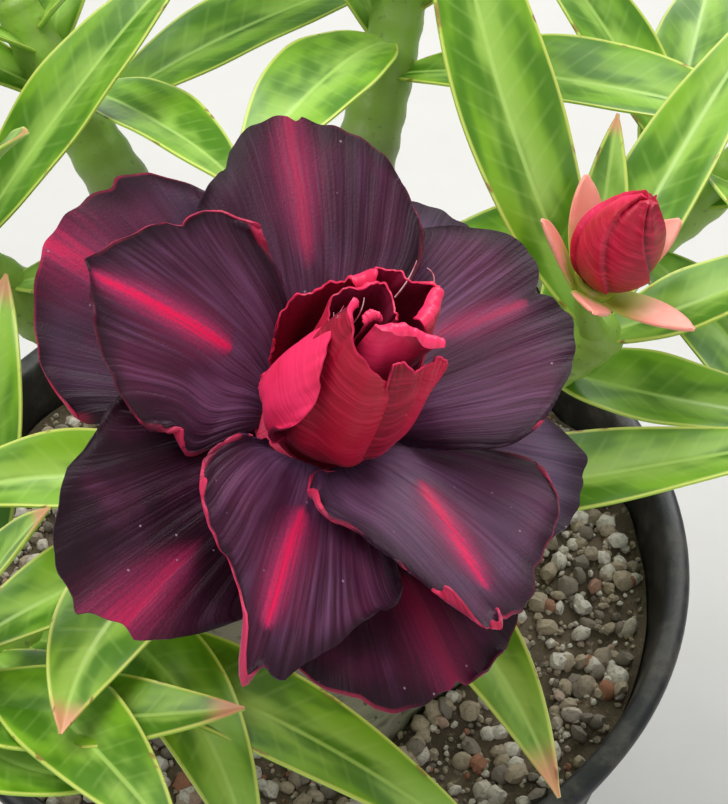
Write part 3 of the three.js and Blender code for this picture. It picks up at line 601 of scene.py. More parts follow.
def swept(line, radii, sides):
    """Rings of a round stem along a line of points, without twist."""
    tangents = unit(np.gradient(line, axis=0))
    side = unit(np.cross(tangents[0], (0.3, 0.9, 0.1)))
    angle = np.linspace(0, 2 * math.pi, sides, endpoint=False)[:, None]
    rings = []
    for point, tangent, radius in zip(line, tangents, radii):
        side = unit(side - tangent * (side @ tangent))
        other = np.cross(tangent, side)
        rings.append(point + radius * (np.cos(angle) * side + np.sin(angle) * other))
    return np.stack(rings)


def flower_frame(flower):
    """Axes and origin of a flower: +Z is its axis, and +X is as near to the world's as it can be."""
    up = unit(np.array(flower["axis"], float))
    right = unit(np.array([1.0, 0, 0]) - up * up[0])
    return np.stack([right, np.cross(up, right), up], 1), np.array(flower["origin"], float)


def rough(points, scale, depth):
    """Smooth noise at points (mm), with features of about 1 / scale mm."""
    octaves = 3
    flat = np.reshape(points, (-1, 3)) * scale
    values = [noise.fractal(Vector(p), 1.0, 2.0, octaves) for p in flat]
    return depth * np.reshape(values, np.shape(points)[:-1])


def settled(made):
    """Applies an object's modifiers to its mesh."""
    shown = made.evaluated_get(bpy.context.evaluated_depsgraph_get())
    mesh = bpy.data.meshes.new_from_object(shown)
    old = made.data
    made.modifiers.clear()
    made.data = mesh
    bpy.data.meshes.remove(old)


# ---------------------------------------------------------------- materials

MIX_FACTOR, MIX_A, MIX_B, MIX_RESULT = 0, 6, 7, 2


def node(tree, kind, inputs=(), out=0, **settings):
    """Adds a shader node with its settings and links, and gives its output."""
    made = tree.nodes.new("ShaderNode" + kind)
    for name, value in settings.items():
        setattr(made, name, value)
    for key, value in dict(inputs).items():
        if isinstance(value, bpy.types.NodeSocket):
            tree.links.new(value, made.inputs[key])
        else:
            made.inputs[key].default_value = value
    return made.outputs[out] if made.outputs else None


def covered(tree, *masks):
    """Where a coat lies: its masks, multiplied.

    A mask is a node's output, or an output with where the mask begins and where it is full, and
    its strength there if that isn't 1.
    """
    share = None
    for mask in masks:
        if isinstance(mask, tuple):
            value, begins, full, strength = (*mask, 1.0)[:4]
            limits = {"Value": value, "From Min": begins, "From Max": full, "To Max": strength}
            mask = node(tree, "MapRange", limits, interpolation_type="SMOOTHSTEP")
        if share is None:
            share = mask
        else:
            share = node(tree, "Math", {0: share, 1: mask}, operation="MULTIPLY")
    return share


def painted(tree, coats):
    """The colour of coats that lie on each other, the lowest first.

    A coat is a colour with its masks, and the lowest has none. A list of coats may stand for a
    colour.
    """
    shown = None
    for over, *masks in coats:
        if isinstance(over, list):
            over = painted(tree, over)
        if masks:
            inputs = {MIX_FACTOR: covered(tree, *masks), MIX_A: shown, MIX_B: over}
            over = node(tree, "Mix", inputs, out=MIX_RESULT, data_type="RGBA")
        shown = over
    return shown


def finish(name, draw, *marks):
    """A material whose shader takes what draw gives it.

    draw takes the node tree, the place on the object in metres, and the numbers that the mesh
    holds under the names of marks, in mm where they are lengths.
    """
    made = bpy.data.materials.new(name)
    made.use_nodes = True
    tree = made.node_tree
    tree.nodes.clear()
    here = node(tree, "TexCoord", out="Object")
    stored = [node(tree, "Attribute", out="Fac", attribute_name=mark) for mark in marks]
    shader = node(tree, "BsdfPrincipled", draw(tree, here, *stored))
    node(tree, "OutputMaterial", {"Surface": shader})
    return made


def velvet_petal(bloom):
    """Living petal, its upper face covered by tiny cone-shaped cells: a dark velvet that glows
    lilac where it is lit or seen aslant, a sheen also painted into its colour on the lit roots,
    the streaks between the veins and the paler petals, and painted shade over the petals that
    others shade; with fine veins 0.5 to 1 mm apart that fan out of the throat, crimson along the
    midrib, and a smooth pink lower face."""

    def draw(tree, here, vein, run, edge, under, stripe, glow, rim, dusk, flush, pale, tone):
        place = node(tree, "CombineXYZ", {"X": vein, "Y": run, "Z": tone})
        # Streaks and hazes that follow the veins: their size across and along the petal, and the
        # step of tone that gives each petal a pattern of its own
        streaks, hazes = (
            node(tree, "TexNoise", {
                "Vector": node(tree, "VectorMath", {0: place, 1: size}, operation="DIVIDE"),
                "Scale": 1.0, "Detail": 2.0})
            for size in ((0.3125, 14.29, 0.03333), (4.545, 16.67, 0.03333)))
        # The cells are drawn some ten times as coarse as the real ones, so that they show
        patches = node(tree, "TexNoise", {"Vector": here, "Scale": 1 / (11.11 * MM), "Detail": 3.0})
        cells = node(tree, "TexNoise", {"Vector": here, "Scale": 1 / (0.3846 * MM), "Detail": 1.0})
        # Grains of pollen dust
        dust = node(tree, "TexVoronoi", {"Vector": here, "Scale": 1 / (4.167 * MM)}, out="Distance")
        frayed = node(tree, "Math", {0: streaks, 1: 2.0, 2: stripe}, operation="MULTIPLY_ADD")
        torn = node(tree, "Math", {0: cells, 1: 0.9, 2: frayed}, operation="MULTIPLY_ADD")
        upper = [
            (bloom.velvet,),
            # Painted lilac sheen laid over the paler petals, where their velvet catches the light
            (linear("#75627e"), pale),
            # Painted lilac sheen on the lit roots of the petals, and on the streaks between the veins where
            # the hazes lie
            (bloom.velvet_sheen, (run, 30, 5, 0.5), (hazes, 0.3, 0.6)),
            (bloom.velvet_sheen, (hazes, 0.3, 0.65), (streaks, 0.36, 0.74, 0.52)),
            (bloom.velvet_dark_and_shade, (streaks, 0.5, 0.3, 0.26)),
            (bloom.blush, flush, (patches, 0.4, 0.65, 0.7), (run, 8, 34)),
            (bloom.velvet_dark_and_shade, (edge, 5.0, 0.2, 0.85)),
            # Painted shade over the petals that lie in the shade of others
            (bloom.velvet_dark_and_shade, dusk, (patches, 0.85, 0.4, 0.95)),
            (linear("#6c1a3c"), (torn, 6.0, 2.0, 0.8), glow),
            (linear("#a22c58"), (torn, 3.9, 1.7, 0.85), glow),
            (bloom.stripe, (torn, 2.5, 1.3), glow, glow),
            (linear("#a58aa0"), (dust, 0.055, 0.03, 0.6)),
            (bloom.reverse, (edge, 0.5, 0.15), (patches, 0.35, 0.55), rim),
        ]
        lower = [
            (bloom.reverse,),
            (bloom.heart, (streaks, 0.4, 0.7, 0.6)),
            (bloom.blush, (patches, 0.5, 0.7, 0.3)),
        ]
        pleats = node(tree, "Bump", {"Height": streaks, "Distance": 0.2 * MM})
        return {
            "Base Color": painted(tree, [(upper,), (lower, under)]),
            "Roughness": 0.48, "Specular IOR Level": 0.2,
            "Normal": node(tree, "Bump", {"Height": cells, "Distance": 0.05 * MM, "Normal": pleats}),
            "Sheen Weight": 0.4, "Sheen Roughness": 0.35, "Sheen Tint": linear("#a07ab0"),
        }

    return finish("velvet_petal", draw, "vein", "run", "edge", "under", "stripe", "glow", "rim",
                  "dusk", "flush", "pale", "tone")


def satin_petal(bloom):
    """Outer face of the inner petals: smooth crimson satin with fine lit ridges 0.8 mm apart
    round the petal, pink and thin at the margin, and velvety maroon inside. Painted shade
    darkens it low down and where other petals shade it, and a painted highlight brightens its lit
    flaps."""

    def draw(tree, here, vein, run, edge, under, bright, lip, shade, tone):
        place = node(tree, "CombineXYZ", {"X": vein, "Y": run, "Z": tone})
        # Ridges run round the petal, each 8 mm long and 0.8 mm wide
        size = (7.692, 0.7692, 0.03333)
        drawn = node(tree, "VectorMath", {0: place, 1: size}, operation="DIVIDE")
        ridges = node(tree, "TexNoise", {
            "Vector": drawn, "Scale": 1.0, "Detail": 4.0, "Roughness": 0.6})
        patches = node(tree, "TexNoise", {"Vector": here, "Scale": 1 / (6.25 * MM), "Detail": 2.0})
        ragged_edge, ragged_lip = (
            node(tree, "Math", {0: patches, 1: reach, 2: mark}, operation="MULTIPLY_ADD")
            for mark, reach in ((edge, 1.4), (lip, 0.9)))
        outside = [
            (bloom.heart,),
            (bloom.heart_light, (ridges, 0.42, 0.7, 0.5)),
            # Painted shade low down near the foot, and painted shade where other petals shade this one
            (linear("#33040f"), (run, 7, -1, 0.5)),
            (linear("#5c0519"), shade, (ridges, 0.95, 0.25)),
            # Pink where bright marks it: the petal's own pink, and a painted highlight where a flap or lobe
            # is lit
            (bloom.heart_bright, bright, (patches, 0.05, 0.55)),
            (bloom.heart_bright, (ragged_edge, 1.2, 0.7, 0.4)),
        ]
        inside = [
            (bloom.heart_shade,),
            (bloom.heart, (ridges, 0.55, 0.85, 0.3)),
            (bloom.heart_bright, (edge, 0.25, 0.05, 0.45)),
            (bloom.heart_bright, lip, (ragged_lip, 0.5, 0.9)),
        ]
        return {
            "Base Color": painted(tree, [(inside,), (outside, under)]),
            "Roughness": 0.42, "Specular IOR Level": 0.4,
            "Normal": node(tree, "Bump", {"Height": ridges, "Distance": 0.16 * MM}),
            "Sheen Weight": 0.05, "Sheen Roughness": 0.4, "Sheen Tint": linear("#ff9fb8"),
        }

    return finish("satin_petal", draw, "vein", "run", "edge", "under", "bright", "lip", "shade",
                  "tone")


def glossy_leaf(leaf):
    """Fleshy leaf under a thin wax skin: glossy bright green that shines along its folds, the shine
    partly painted as a pale band by the midrib, with a pale midrib, fine side veins, a thin yellow
    margin and a blushed tip."""

    def draw(tree, here, across, run, edge, under, tip, tone):
        aside = node(tree, "Math", {0: across}, operation="ABSOLUTE")
        # Side veins leave the midrib forwards at about 50 degrees
        slant = node(tree, "Math", {0: aside, 1: -0.85, 2: run}, operation="MULTIPLY_ADD")
        turns = node(tree, "Math", {0: slant, 1: leaf.vein_spacing / MM}, operation="DIVIDE")
        wave = node(tree, "Math", {0: turns, 1: 0.5}, operation="PINGPONG")
        veins = covered(tree, (wave, 0.16, 0.02, 0.12), (edge, 0.5, 2.5))
        midrib = (aside, 0.6, 0.15, 0.7)
        # Patches 4.5 mm wide and 14 mm long, and scorched spots a third of that
        place = node(tree, "CombineXYZ", {"X": across, "Y": run, "Z": tone})
        size = (4.545, 14.29, 0.025)
        drawn = node(tree, "VectorMath", {0: place, 1: size}, operation="DIVIDE")
        patches, scorch = (
            node(tree, "TexNoise", {"Vector": drawn, "Scale": scale, "Detail": detail})
            for scale, detail in ((1.0, 2.0), (3.0, 4.0)))
        skin = node(tree, "TexNoise", {"Vector": here, "Scale": 1 / (1.111 * MM), "Detail": 2.0})
        upper = [
            (leaf.blade,),
            (leaf.blade_light, (patches, 0.36, 0.64, 0.85)),
            # A pale band some 5.5 mm to each side of the midrib: partly the leaf's own pale middle, partly a
            # painted highlight where the folded leaf shines
            (leaf.midrib, (aside, 5.5, 0.3, 0.55), (patches, 0.3, 0.6)),
            (leaf.midrib, veins),
            (leaf.midrib, midrib),
            (leaf.margin, (edge, 0.6, 0.2, 0.85)),
            (leaf.tip, (tip, 0.88, 0.96, 0.8)),
            (linear("#8a5a34"), (scorch, 0.6, 0.68, 0.8), (edge, 0.9, 0.2)),
        ]
        lower = [
            (leaf.blade_light,),
            (leaf.midrib, (patches, 0.3, 0.7, 0.6)),
            (leaf.midrib, midrib),
        ]
        sunk = node(tree, "Bump", {"Height": veins, "Distance": -0.12 * MM})
        return {
            "Base Color": painted(tree, [(upper,), (lower, under)]),
            "Roughness": 0.36, "Specular IOR Level": 0.4,
            "Normal": node(tree, "Bump", {"Height": skin, "Distance": 0.03 * MM, "Normal": sunk}),
            "Subsurface Weight": 0.12, "Subsurface Radius": (0.6, 1.0, 0.2),
            "Subsurface Scale": 1.0 * MM,
        }

    return finish("glossy_leaf", draw, "across", "run", "edge", "under", "tip", "tone")


def green_stem(leaf):
    """Young succulent stem: smooth waxy green skin that greys to bark at its foot, with small
    darker leaf scars."""

    def draw(tree, here, run):
        # Patches between leaf scars, and the scars and pores themselves
        patches = node(tree, "TexNoise", {"Vector": here, "Scale": 1 / (8.333 * MM), "Detail": 3.0})
        skin = node(tree, "TexNoise", {"Vector": here, "Scale": 1 / (1.4286 * MM), "Detail": 3.0})
        return {
            "Base Color": painted(tree, [
                (leaf.stem,),
                (leaf.blade_light, (patches, 0.4, 0.7, 0.5)),
                (linear("#85836a"), (run, 14, 0, 0.75)),
                (linear("#5f6d34"), (skin, 0.62, 0.72, 0.5)),
            ]),
            "Roughness": 0.45, "Specular IOR Level": 0.45,
            "Normal": node(tree, "Bump", {"Height": skin, "Distance": 0.12 * MM}),
        }

    return finish("green_stem", draw, "run")


def blushed_sepal(leaf):
    """Thin leafy sepal: salmon pink where the sun has reached it, yellow-green at its foot."""

    def draw(tree, here, tip):
        patches = node(tree, "TexNoise", {"Vector": here, "Scale": 1 / (3.846 * MM), "Detail": 2.0})
        return {
            "Base Color": painted(tree, [
                (linear("#b3bf45"),),
                (leaf.sepal, (tip, 0.15, 0.6)),
                (linear("#f7c9ae"), (patches, 0.5, 0.75, 0.4)),
            ]),
            "Roughness": 0.45, "Specular IOR Level": 0.45,
            "Normal": node(tree, "Bump", {"Height": patches, "Distance": 0.08 * MM}),
            "Subsurface Weight": 0.15, "Subsurface Radius": (1.0, 0.5, 0.3),
            "Subsurface Scale": 1.0 * MM,
        }

    return finish("blushed_sepal", draw, "tip")


def caudex_bark(wood):
    """Thin papery bark over a water-filled stem: dull grey-tan skin, stretched smooth, with
    fine cross wrinkles 2 mm apart, small pores and green skin showing through."""

    def draw(tree, here):
        # Wrinkles run round the stem, each 7.7 mm long and 1.7 mm high
        squat = node(tree, "VectorMath", {0: here, 1: (1, 1, 4.5)}, operation="MULTIPLY")
        wrinkles = node(tree, "TexNoise", {
            "Vector": squat, "Scale": 1 / (7.692 * MM), "Detail": 5.0, "Roughness": 0.62})
        patches = node(tree, "TexNoise", {"Vector": here, "Scale": 1 / (26.32 * MM), "Detail": 4.0})
        cells = node(tree, "TexVoronoi", {"Vector": here, "Scale": 1 / (2.381 * MM)}, out="Distance")
        pores = covered(tree, (cells, 0.2, 0.08), (patches, 0.4, 0.6))
        ridged = node(tree, "Bump", {"Height": wrinkles, "Distance": 0.7 * MM})
        return {
            "Base Color": painted(tree, [
                (wood.bark,),
                (wood.bark_green, (patches, 0.5, 0.72, 0.75)),
                # Painted shade in the wrinkles' troughs, and a painted highlight on their crests
                (wood.bark_shade_and_pores, (wrinkles, 0.5, 0.34, 0.8)),
                (linear("#b3ab97"), (wrinkles, 0.62, 0.8, 0.5)),
                (wood.bark_shade_and_pores, pores),
            ]),
            "Roughness": 0.72, "Specular IOR Level": 0.35,
            "Normal": node(tree, "Bump", {
                "Height": pores, "Distance": -0.25 * MM, "Normal": ridged}),
        }

    return finish("caudex_bark", draw)


def moulded_plastic(pot):
    """Black polypropylene, injection moulded: an even soft sheen with a fine orange-peel grain
    of about 0.6 mm, and a little dust where the mix was watered."""

    def draw(tree, here):
        peel = node(tree, "TexNoise", {"Vector": here, "Scale": 1 / (0.625 * MM), "Detail": 2.0})
        # Clouds of dust
        dust = node(tree, "TexNoise", {
            "Vector": here, "Scale": 1 / (14.29 * MM), "Detail": 5.0, "Roughness": 0.7})
        height = node(tree, "SeparateXYZ", {0: here}, out="Z")
        near_rim = (height, 0.09, POT_HEIGHT * MM)
        duller = {"Value": dust, "From Min": 0.4, "From Max": 0.75, "To Min": 0.38, "To Max": 0.62}
        return {
            "Base Color": painted(tree, [
                (pot.plastic,),
                (linear("#6d6a63"), (dust, 0.48, 0.78, 0.16)),
                (linear("#8b8272"), near_rim, (dust, 0.45, 0.7, 0.22)),
            ]),
            "Roughness": node(tree, "MapRange", duller, interpolation_type="SMOOTHSTEP"),
            "Normal": node(tree, "Bump", {"Height": peel, "Distance": 0.04 * MM}),
        }

    return finish("moulded_plastic", draw)


def moist_fines(pot):
    """Fines of the mix: rough crumbs of 1 to 2 mm, dark where moist."""

    def draw(tree, here):
        crumbs = node(tree, "TexNoise", {
            "Vector": here, "Scale": 1 / (1.667 * MM), "Detail": 6.0, "Roughness": 0.7})
        damp = node(tree, "TexNoise", {"Vector": here, "Scale": 1 / (22.22 * MM), "Detail": 3.0})
        return {
            "Base Color": painted(tree, [
                (pot.mix,),
                (linear("#3f362b"), (damp, 0.4, 0.65, 0.7)),
                (pot.stone, (crumbs, 0.55, 0.7, 0.7)),
            ]),
            "Roughness": 0.95, "Specular IOR Level": 0.25,
            "Normal": node(tree, "Bump", {"Height": crumbs, "Distance": 1.1 * MM}),
        }

    return finish("moist_fines", draw)


def crushed_stone(pot):
    """Crushed stone and pumice: matt broken faces with small pores, each stone its own tone."""

    def draw(tree, here, tone):
        pits = node(tree, "TexNoise", {
            "Vector": here, "Scale": 1 / (0.9091 * MM), "Detail": 4.0, "Roughness": 0.7})
        return {
            "Base Color": painted(tree, [
                (pot.stone,),
                (pot.stone_pale, (tone, 0.55, 0.75)),
                (linear("#7d7468"), (tone, 0.3, 0.12)),
                (linear("#9c6a50"), (tone, 0.9, 0.97)),
                (pot.mix, (pits, 0.5, 0.35, 0.5)),
            ]),
            "Roughness": 0.9, "Specular IOR Level": 0.3,
            "Normal": node(tree, "Bump", {"Height": pits, "Distance": 0.35 * MM}),
        }

    return finish("crushed_stone", draw, "tone")


def stamen_hair(bloom):
    """Downy tips of the stamens: pale pink silk."""

    def draw(tree, here):
        tints = node(tree, "TexNoise", {"Vector": here, "Scale": 1 / (2.5 * MM), "Detail": 2.0})
        return {
            "Base Color": painted(tree, [
                (linear("#f4c6cf"),),
                (bloom.heart_light, (tints, 0.4, 0.7)),
            ]),
            "Roughness": 0.5, "Sheen Weight": 0.3,
        }

    return finish("stamen_hair", draw)


def painted_floor(stage):
    """Plain matt painted board, hardly mottled."""

    def draw(tree, here):
        mottle = node(tree, "TexNoise", {"Vector": here, "Scale": 1 / (25 * MM), "Detail": 3.0})
        return {
            "Base Color": painted(tree, [
                (stage.floor,),
                (linear("#ffffff"), (mottle, 0.3, 0.8, 0.06)),
            ]),
            "Roughness": 0.85, "Specular IOR Level": 0.2,
        }

    return finish("painted_floor", draw)


# ---------------------------------------------------------------- bloom

def curled(beyond, roll):
    """What a margin's rolled strip loses in width, what it gains in height, and what it takes.

    beyond is how far a point lies past the margin, and roll how much of the margin is rolled.
    """
    radius = np.maximum(CURL_RADIUS, roll / CURL_TURN)
    arc = np.clip(beyond + roll, 0, radius * CURL_TURN)
    turn = arc / radius
    # The strip is longer than the margin's place, by what the curl takes back
    taken = roll - radius * np.sin(np.minimum(roll / radius, math.pi / 2))
    return arc - radius * np.sin(turn), radius * (1 - np.cos(turn)), taken


def petal_surface(petal, bloom):
    """A dark petal: a narrow root, broad shoulders, a rounded crinkled end, rolled margins."""
    r0, h0, r1, h1, r2, h2 = petal["profile"]
    azimuth = math.radians(petal["azimuth"])
    whorl = OUTER_WHORL if petal.get("outer") else MIDDLE_WHORL
    tilt = math.tan(math.radians(whorl["roll"]))
    full = math.hypot(r2 - r0, h2 - h0) * PETAL_SLACK
    margin = np.array(petal["margin"])
    fold_t, fold_angle = petal.get("fold", (1, 0))

    def side(name, t, s):
        left, right = (along(petal.get(name + hand, (0, 0)), s) for hand in ("left", "right"))
        return np.where(t < 0, left, right)

    def width_at(t, s):
        """Half the width at s without what its sides stand out, and the place of t across it."""
        half = lerp(PETAL_ROOT_WIDTH / 2, petal["width"] / 2, np.sin(s * math.pi / 2) ** 0.75)
        return half, (half + side("wide_", t, s)) * np.sin(t * math.pi / 2)

    def surface(t, s):
        half, x = width_at(t, s)
        widest = np.abs(width_at(np.sign(t + 1e-9), s)[1])

        # Along: how far the petal reaches, with rounded shoulders and a rolled end
        crumple = 0.005 * np.sin(9 * t + azimuth * 7) + 0.003 * np.sin(37 * t + azimuth * 3)
        end = np.interp(t, margin[:, 0], margin[:, 1]) + crumple
        roll = along(petal.get("end", (0, 0)), (t + 1) / 2) * (1 + 0.3 * np.sin(31 * t))
        roll = np.maximum(roll, 0)
        end = end + curled(0, roll)[2] / full
        extent = s * lerp(1, end, s ** 3)
        bow = 1 - np.cos(t * math.pi / 2)
        flat = extent * (1 - PETAL_SHOULDER * np.abs(extent) ** 1.5 * bow)
        last = end * (1 - PETAL_SHOULDER * np.abs(end) ** 1.5 * bow)
        lost, rise, _ = curled((flat - last) * full, roll)
        reach = flat - lost / full

        # Across: the rolled sides
        roll = side("", t, s) * (1 + 0.15 * np.sin(29 * s + azimuth) + 0.1 * np.sin(53 * s))
        lost, risen, _ = curled(np.abs(x) - widest, np.maximum(roll, 0))
        x = x - np.sign(x) * lost

        # The midrib's curve, from which the petal is lifted along its normal
        q = 1 - reach
        radius = q * q * r0 + 2 * q * reach * r1 + reach * reach * r2
        height = q * q * h0 + 2 * q * reach * h1 + reach * reach * h2
        slope_r = q * (r1 - r0) + reach * (r2 - r1)
        slope_h = q * (h1 - h0) + reach * (h2 - h1)
        steep = np.hypot(slope_r, slope_h)
        vein = t * (1 - 0.4 * s * s)
        pleats = np.sin(vein * 46 + 2.5 * np.sin(vein * 7 + azimuth)) * ease(s * 2.5)
        near_margin = np.maximum(np.abs(t) ** 5, s ** 9)
        crinkle = (0.6 * np.sin(9 * t + 17 * s + azimuth * 5)
                   + 0.4 * np.sin(21 * t - 26 * s + azimuth))
        past_fold = np.maximum(0, x - half * math.sin(fold_t * math.pi / 2))
        lift = (
            -tilt * x * np.minimum(1, 3 * s)
            + np.minimum(np.abs(x / half), 1) ** 2 * (s + side("high_", t, s))
            + whorl["wave"] * s * s * np.sin(5 * t + petal["azimuth"]) * np.abs(t)
            + (rise + risen)
            + bloom.pleat_height / MM * pleats
            + bloom.crinkle / MM * near_margin * crinkle * ease(s * 1.6)
            - past_fold * math.tan(math.radians(fold_angle)) * ease(s * 2 - 0.8)
        )
        out = radius - slope_h / steep * lift
        points = np.stack([
            math.cos(azimuth) * out - math.sin(azimuth) * x,
            math.sin(azimuth) * out + math.cos(azimuth) * x,
            height + slope_r / steep * lift], -1)
        edge = np.minimum((1 - np.abs(np.sin(t * math.pi / 2))) * widest, (1 - s) * full)
        rim = side("rim_", t, s) * ease(np.abs(t) * 3)
        stripe, glow = stripe_at(petal, width_at, x, flat * full, full)
        return points, {
            "vein": vein * petal["width"] / 2, "run": reach * full, "edge": edge,
            "stripe": stripe, "glow": glow, "rim": rim,
            "dark_rim": ease(1.2 - 3 * edge) * (1 - ease(1.5 * rim)),
        }

    return surface


def stripe_at(petal, width_at, x, run, full):
    """Distance to a petal's stripe in half widths, which shrink to its ends, and its strength."""
    t0, s0, t1, s1, half_width, strength, skew = petal.get("stripe", NO_STRIPE)
    start, end = (
        np.array([width_at(np.array(t), np.array(s))[1], s * full])
        for t, s in ((t0, s0), (t1, s1)))
    line = end - start
    off = np.stack([x, run], -1) - start
    share = off @ line / (line @ line)
    aside = np.abs(off[..., 0] * line[1] - off[..., 1] * line[0]) / np.linalg.norm(line)
    taper = np.sin(np.clip(share, 0, 1) ** skew * math.pi)
    taper = np.sqrt(np.clip(taper, 0, 1)) + 0.06
    beyond = np.maximum(0, np.maximum(-share, share - 1)) * 6
    return np.minimum(aside / (half_width * taper) + beyond, 5), strength * ease(1.6 * taper)


def heart_surface(petal):
    """A heart petal: from its foot over its belly to its crinkled, thinly rolled margin."""
    foot = petal["foot"]
    margin = np.array(petal["margin"], float)
    ruffled = petal.get("ruffled", 1)
    folds = petal.get("folds", HEART_FOLDS)

    def across(name, u):
        return along(petal.get(name, (0, 0)), u)

    def wall(u, s):
        angle = lerp(foot[0], foot[1], u)
        edge = [along(margin[:, k], u) for k in range(3)]
        turn = np.radians(along((angle, angle, edge[0]), s))
        radius = along((HEART_FOOT_RADIUS, across("belly", u), edge[1]), s)
        return ring(radius, along((HEART_FOOT_HEIGHT, 0.4 * edge[2], edge[2]), s), turn)

    def surface(t, s):
        u = (t + 1) / 2
        roll = across("roll", u)
        top = wall(u, np.ones_like(s))
        size = np.linalg.norm(top - wall(u, np.zeros_like(s)), axis=-1)
        crest = size / (size + np.abs(roll))
        base = wall(u, np.minimum(s / crest, 1))

        # Past its crest the margin bends over on a small circle
        rise = unit(top - wall(u, np.full_like(s, 0.94)))
        along_edge = unit(np.gradient(top, axis=1))
        aside = unit(np.cross(rise, along_edge)) * -np.sign(roll)[..., None]
        over = np.maximum(s * (size + np.abs(roll)) - size, 0)
        curl = np.clip(np.abs(roll) / HEART_ROLL_TURN, 0.6, HEART_ROLL_RADIUS)
        bent = np.minimum(over / curl, HEART_ROLL_TURN)
        flat = over - curl * bent
        points = (
            base
            + rise * (curl * np.sin(bent) + flat * np.cos(bent))[..., None]
            + aside * (curl * (1 - np.cos(bent)) + flat * np.sin(bent))[..., None])

        # Crinkles near the margin, soft dents between it and the foot, and a ragged height
        lip = ease(over / 0.6)
        near = ease((s - 0.7) / 0.3)
        crinkle = (0.24 * np.sin(23 * u + foot[0]) + 0.14 * np.sin(43 * u + foot[1])
                   + 0.08 * np.sin(89 * u)) * (1 - 0.6 * lip) * ruffled
        dent = folds * np.sin(14 * u + 5 * s + foot[0]) * ease(4 * s * (1 - s))
        outwards = near * crinkle + dent + 0.1 * np.abs(t) ** 8 * np.sin(40 * s)
        points = points + unit(points * (1, 1, 0)) * outwards[..., None]
        ragged = 0.2 * np.sin(29 * u + foot[1] * 0.7) + 0.1 * np.sin(71 * u + foot[0])
        points[..., 2] += near * ragged * ruffled
        width = abs(np.radians(foot[1] - foot[0])) * 10
        return points, {
            "vein": u * width,
            "run": points[..., 2] + 0.5 * np.sin(9 * u + 1),
            "edge": np.minimum((1 - s) * 22, (1 - np.abs(t)) * width / 2),
            "bright": np.maximum(across("bright", u), 0.8 * lip),
            "lip": lip,
            "shade": across("shade", u) * (1 - lip),
        }

    return surface


class DESERTROSE_OT_dark_petals(bpy.types.Operator):
    """Adds the two whorls of dark petals on their corolla tube"""

    bl_idname = "desertrose.dark_petals"
    bl_label = "Dark petals"

    def execute(self, context):
        bloom = context.scene.desert_rose_bloom
        shape = Shape()
        place = flower_frame(BLOOM)
        for k, petal in enumerate(PETALS):
            blade(shape, petal_surface(petal, bloom), PETAL_GRID, bloom.petal_thickness / MM,
                  under=1.0, place=place, tone=0.37 * k % 1, dusk=petal.get("dusk", 0.0),
                  flush=petal["blush"], pale=petal.get("pale", 0.0))
        sides = 48
        profile = ((ON_AXIS, TUBE_PROFILE[0][1]), *TUBE_PROFILE[:-1], *TUBE_HOLLOW)
        ring_body(shape, set_in(turned(profile, sides), place), vein=np.linspace(0, 60, sides),
                  edge=3.0, under=1.0, stripe=5.0, tone=0.5)
        shape.piece("bloom_velvet_petals", [velvet_petal(bloom)], "dark_petal", "bloom_dark_petals")
        return {"FINISHED"}


class DESERTROSE_OT_heart(bpy.types.Operator):
    """Adds the half-open crimson heart and its stamen hairs"""

    bl_idname = "desertrose.heart"
    bl_label = "Heart"

    def execute(self, context):
        bloom = context.scene.desert_rose_bloom
        shape = Shape()
        place = flower_frame(BLOOM)
        for k, petal in enumerate(HEART_PETALS):
            blade(shape, heart_surface(petal), HEART_GRID, bloom.heart_thickness / MM,
                  under=1.0, edge=0.35, place=place, tone=0.29 * k % 1)
        root = ((ON_AXIS, HEART_ROOT[0][1]), *HEART_ROOT, (ON_AXIS, 4))
        ring_body(shape, set_in(turned(root, 48), place), edge=3.0, under=1.0, shade=0.6, tone=0.4)
        shape.piece("bloom_satin_heart", [satin_petal(bloom)], "crimson_petal", "bloom_heart")
        hairs = Shape()
        for controls in STAMEN_HAIRS:
            line = set_in(bezier(controls, np.linspace(0, 1, HAIR_STEPS)), place)
            ring_body(hairs, swept(line, np.linspace(*HAIR_RADII, HAIR_STEPS), 8))
        hairs.piece("stamen_hairs", [stamen_hair(bloom)], "crimson_petal")
        return {"FINISHED"}


# ---------------------------------------------------------------- bud, calyx and shoots

def bud_surface(rise, turn):
    """Five petals wound round each other: each edge stands out in a slanting step."""
    wound = (5 * turn + BUD_TWIST * rise) % 1
    step = wound ** 1.6 - ease((wound - 0.94) / 0.06)
    furl = ease((rise - 0.66) / 0.34)
    swirl = 1 + 0.2 * furl * np.sin(10 * math.pi * turn + 9 * rise)
    radius = BUD_RADIUS * along(BUD_SHAPE, rise) * (0.92 + (0.14 + 0.22 * furl) * step) * swirl
    height = BUD_LENGTH * (rise - 0.5) + 0.8 * furl * wound
    return ring(radius, height, 2 * math.pi * turn), wound


def lobe(turn, centre, breadth):
    """A soft mark round one side of the bud."""
    return ease(1 - np.abs((turn - centre + 0.5) % 1 - 0.5) / breadth)


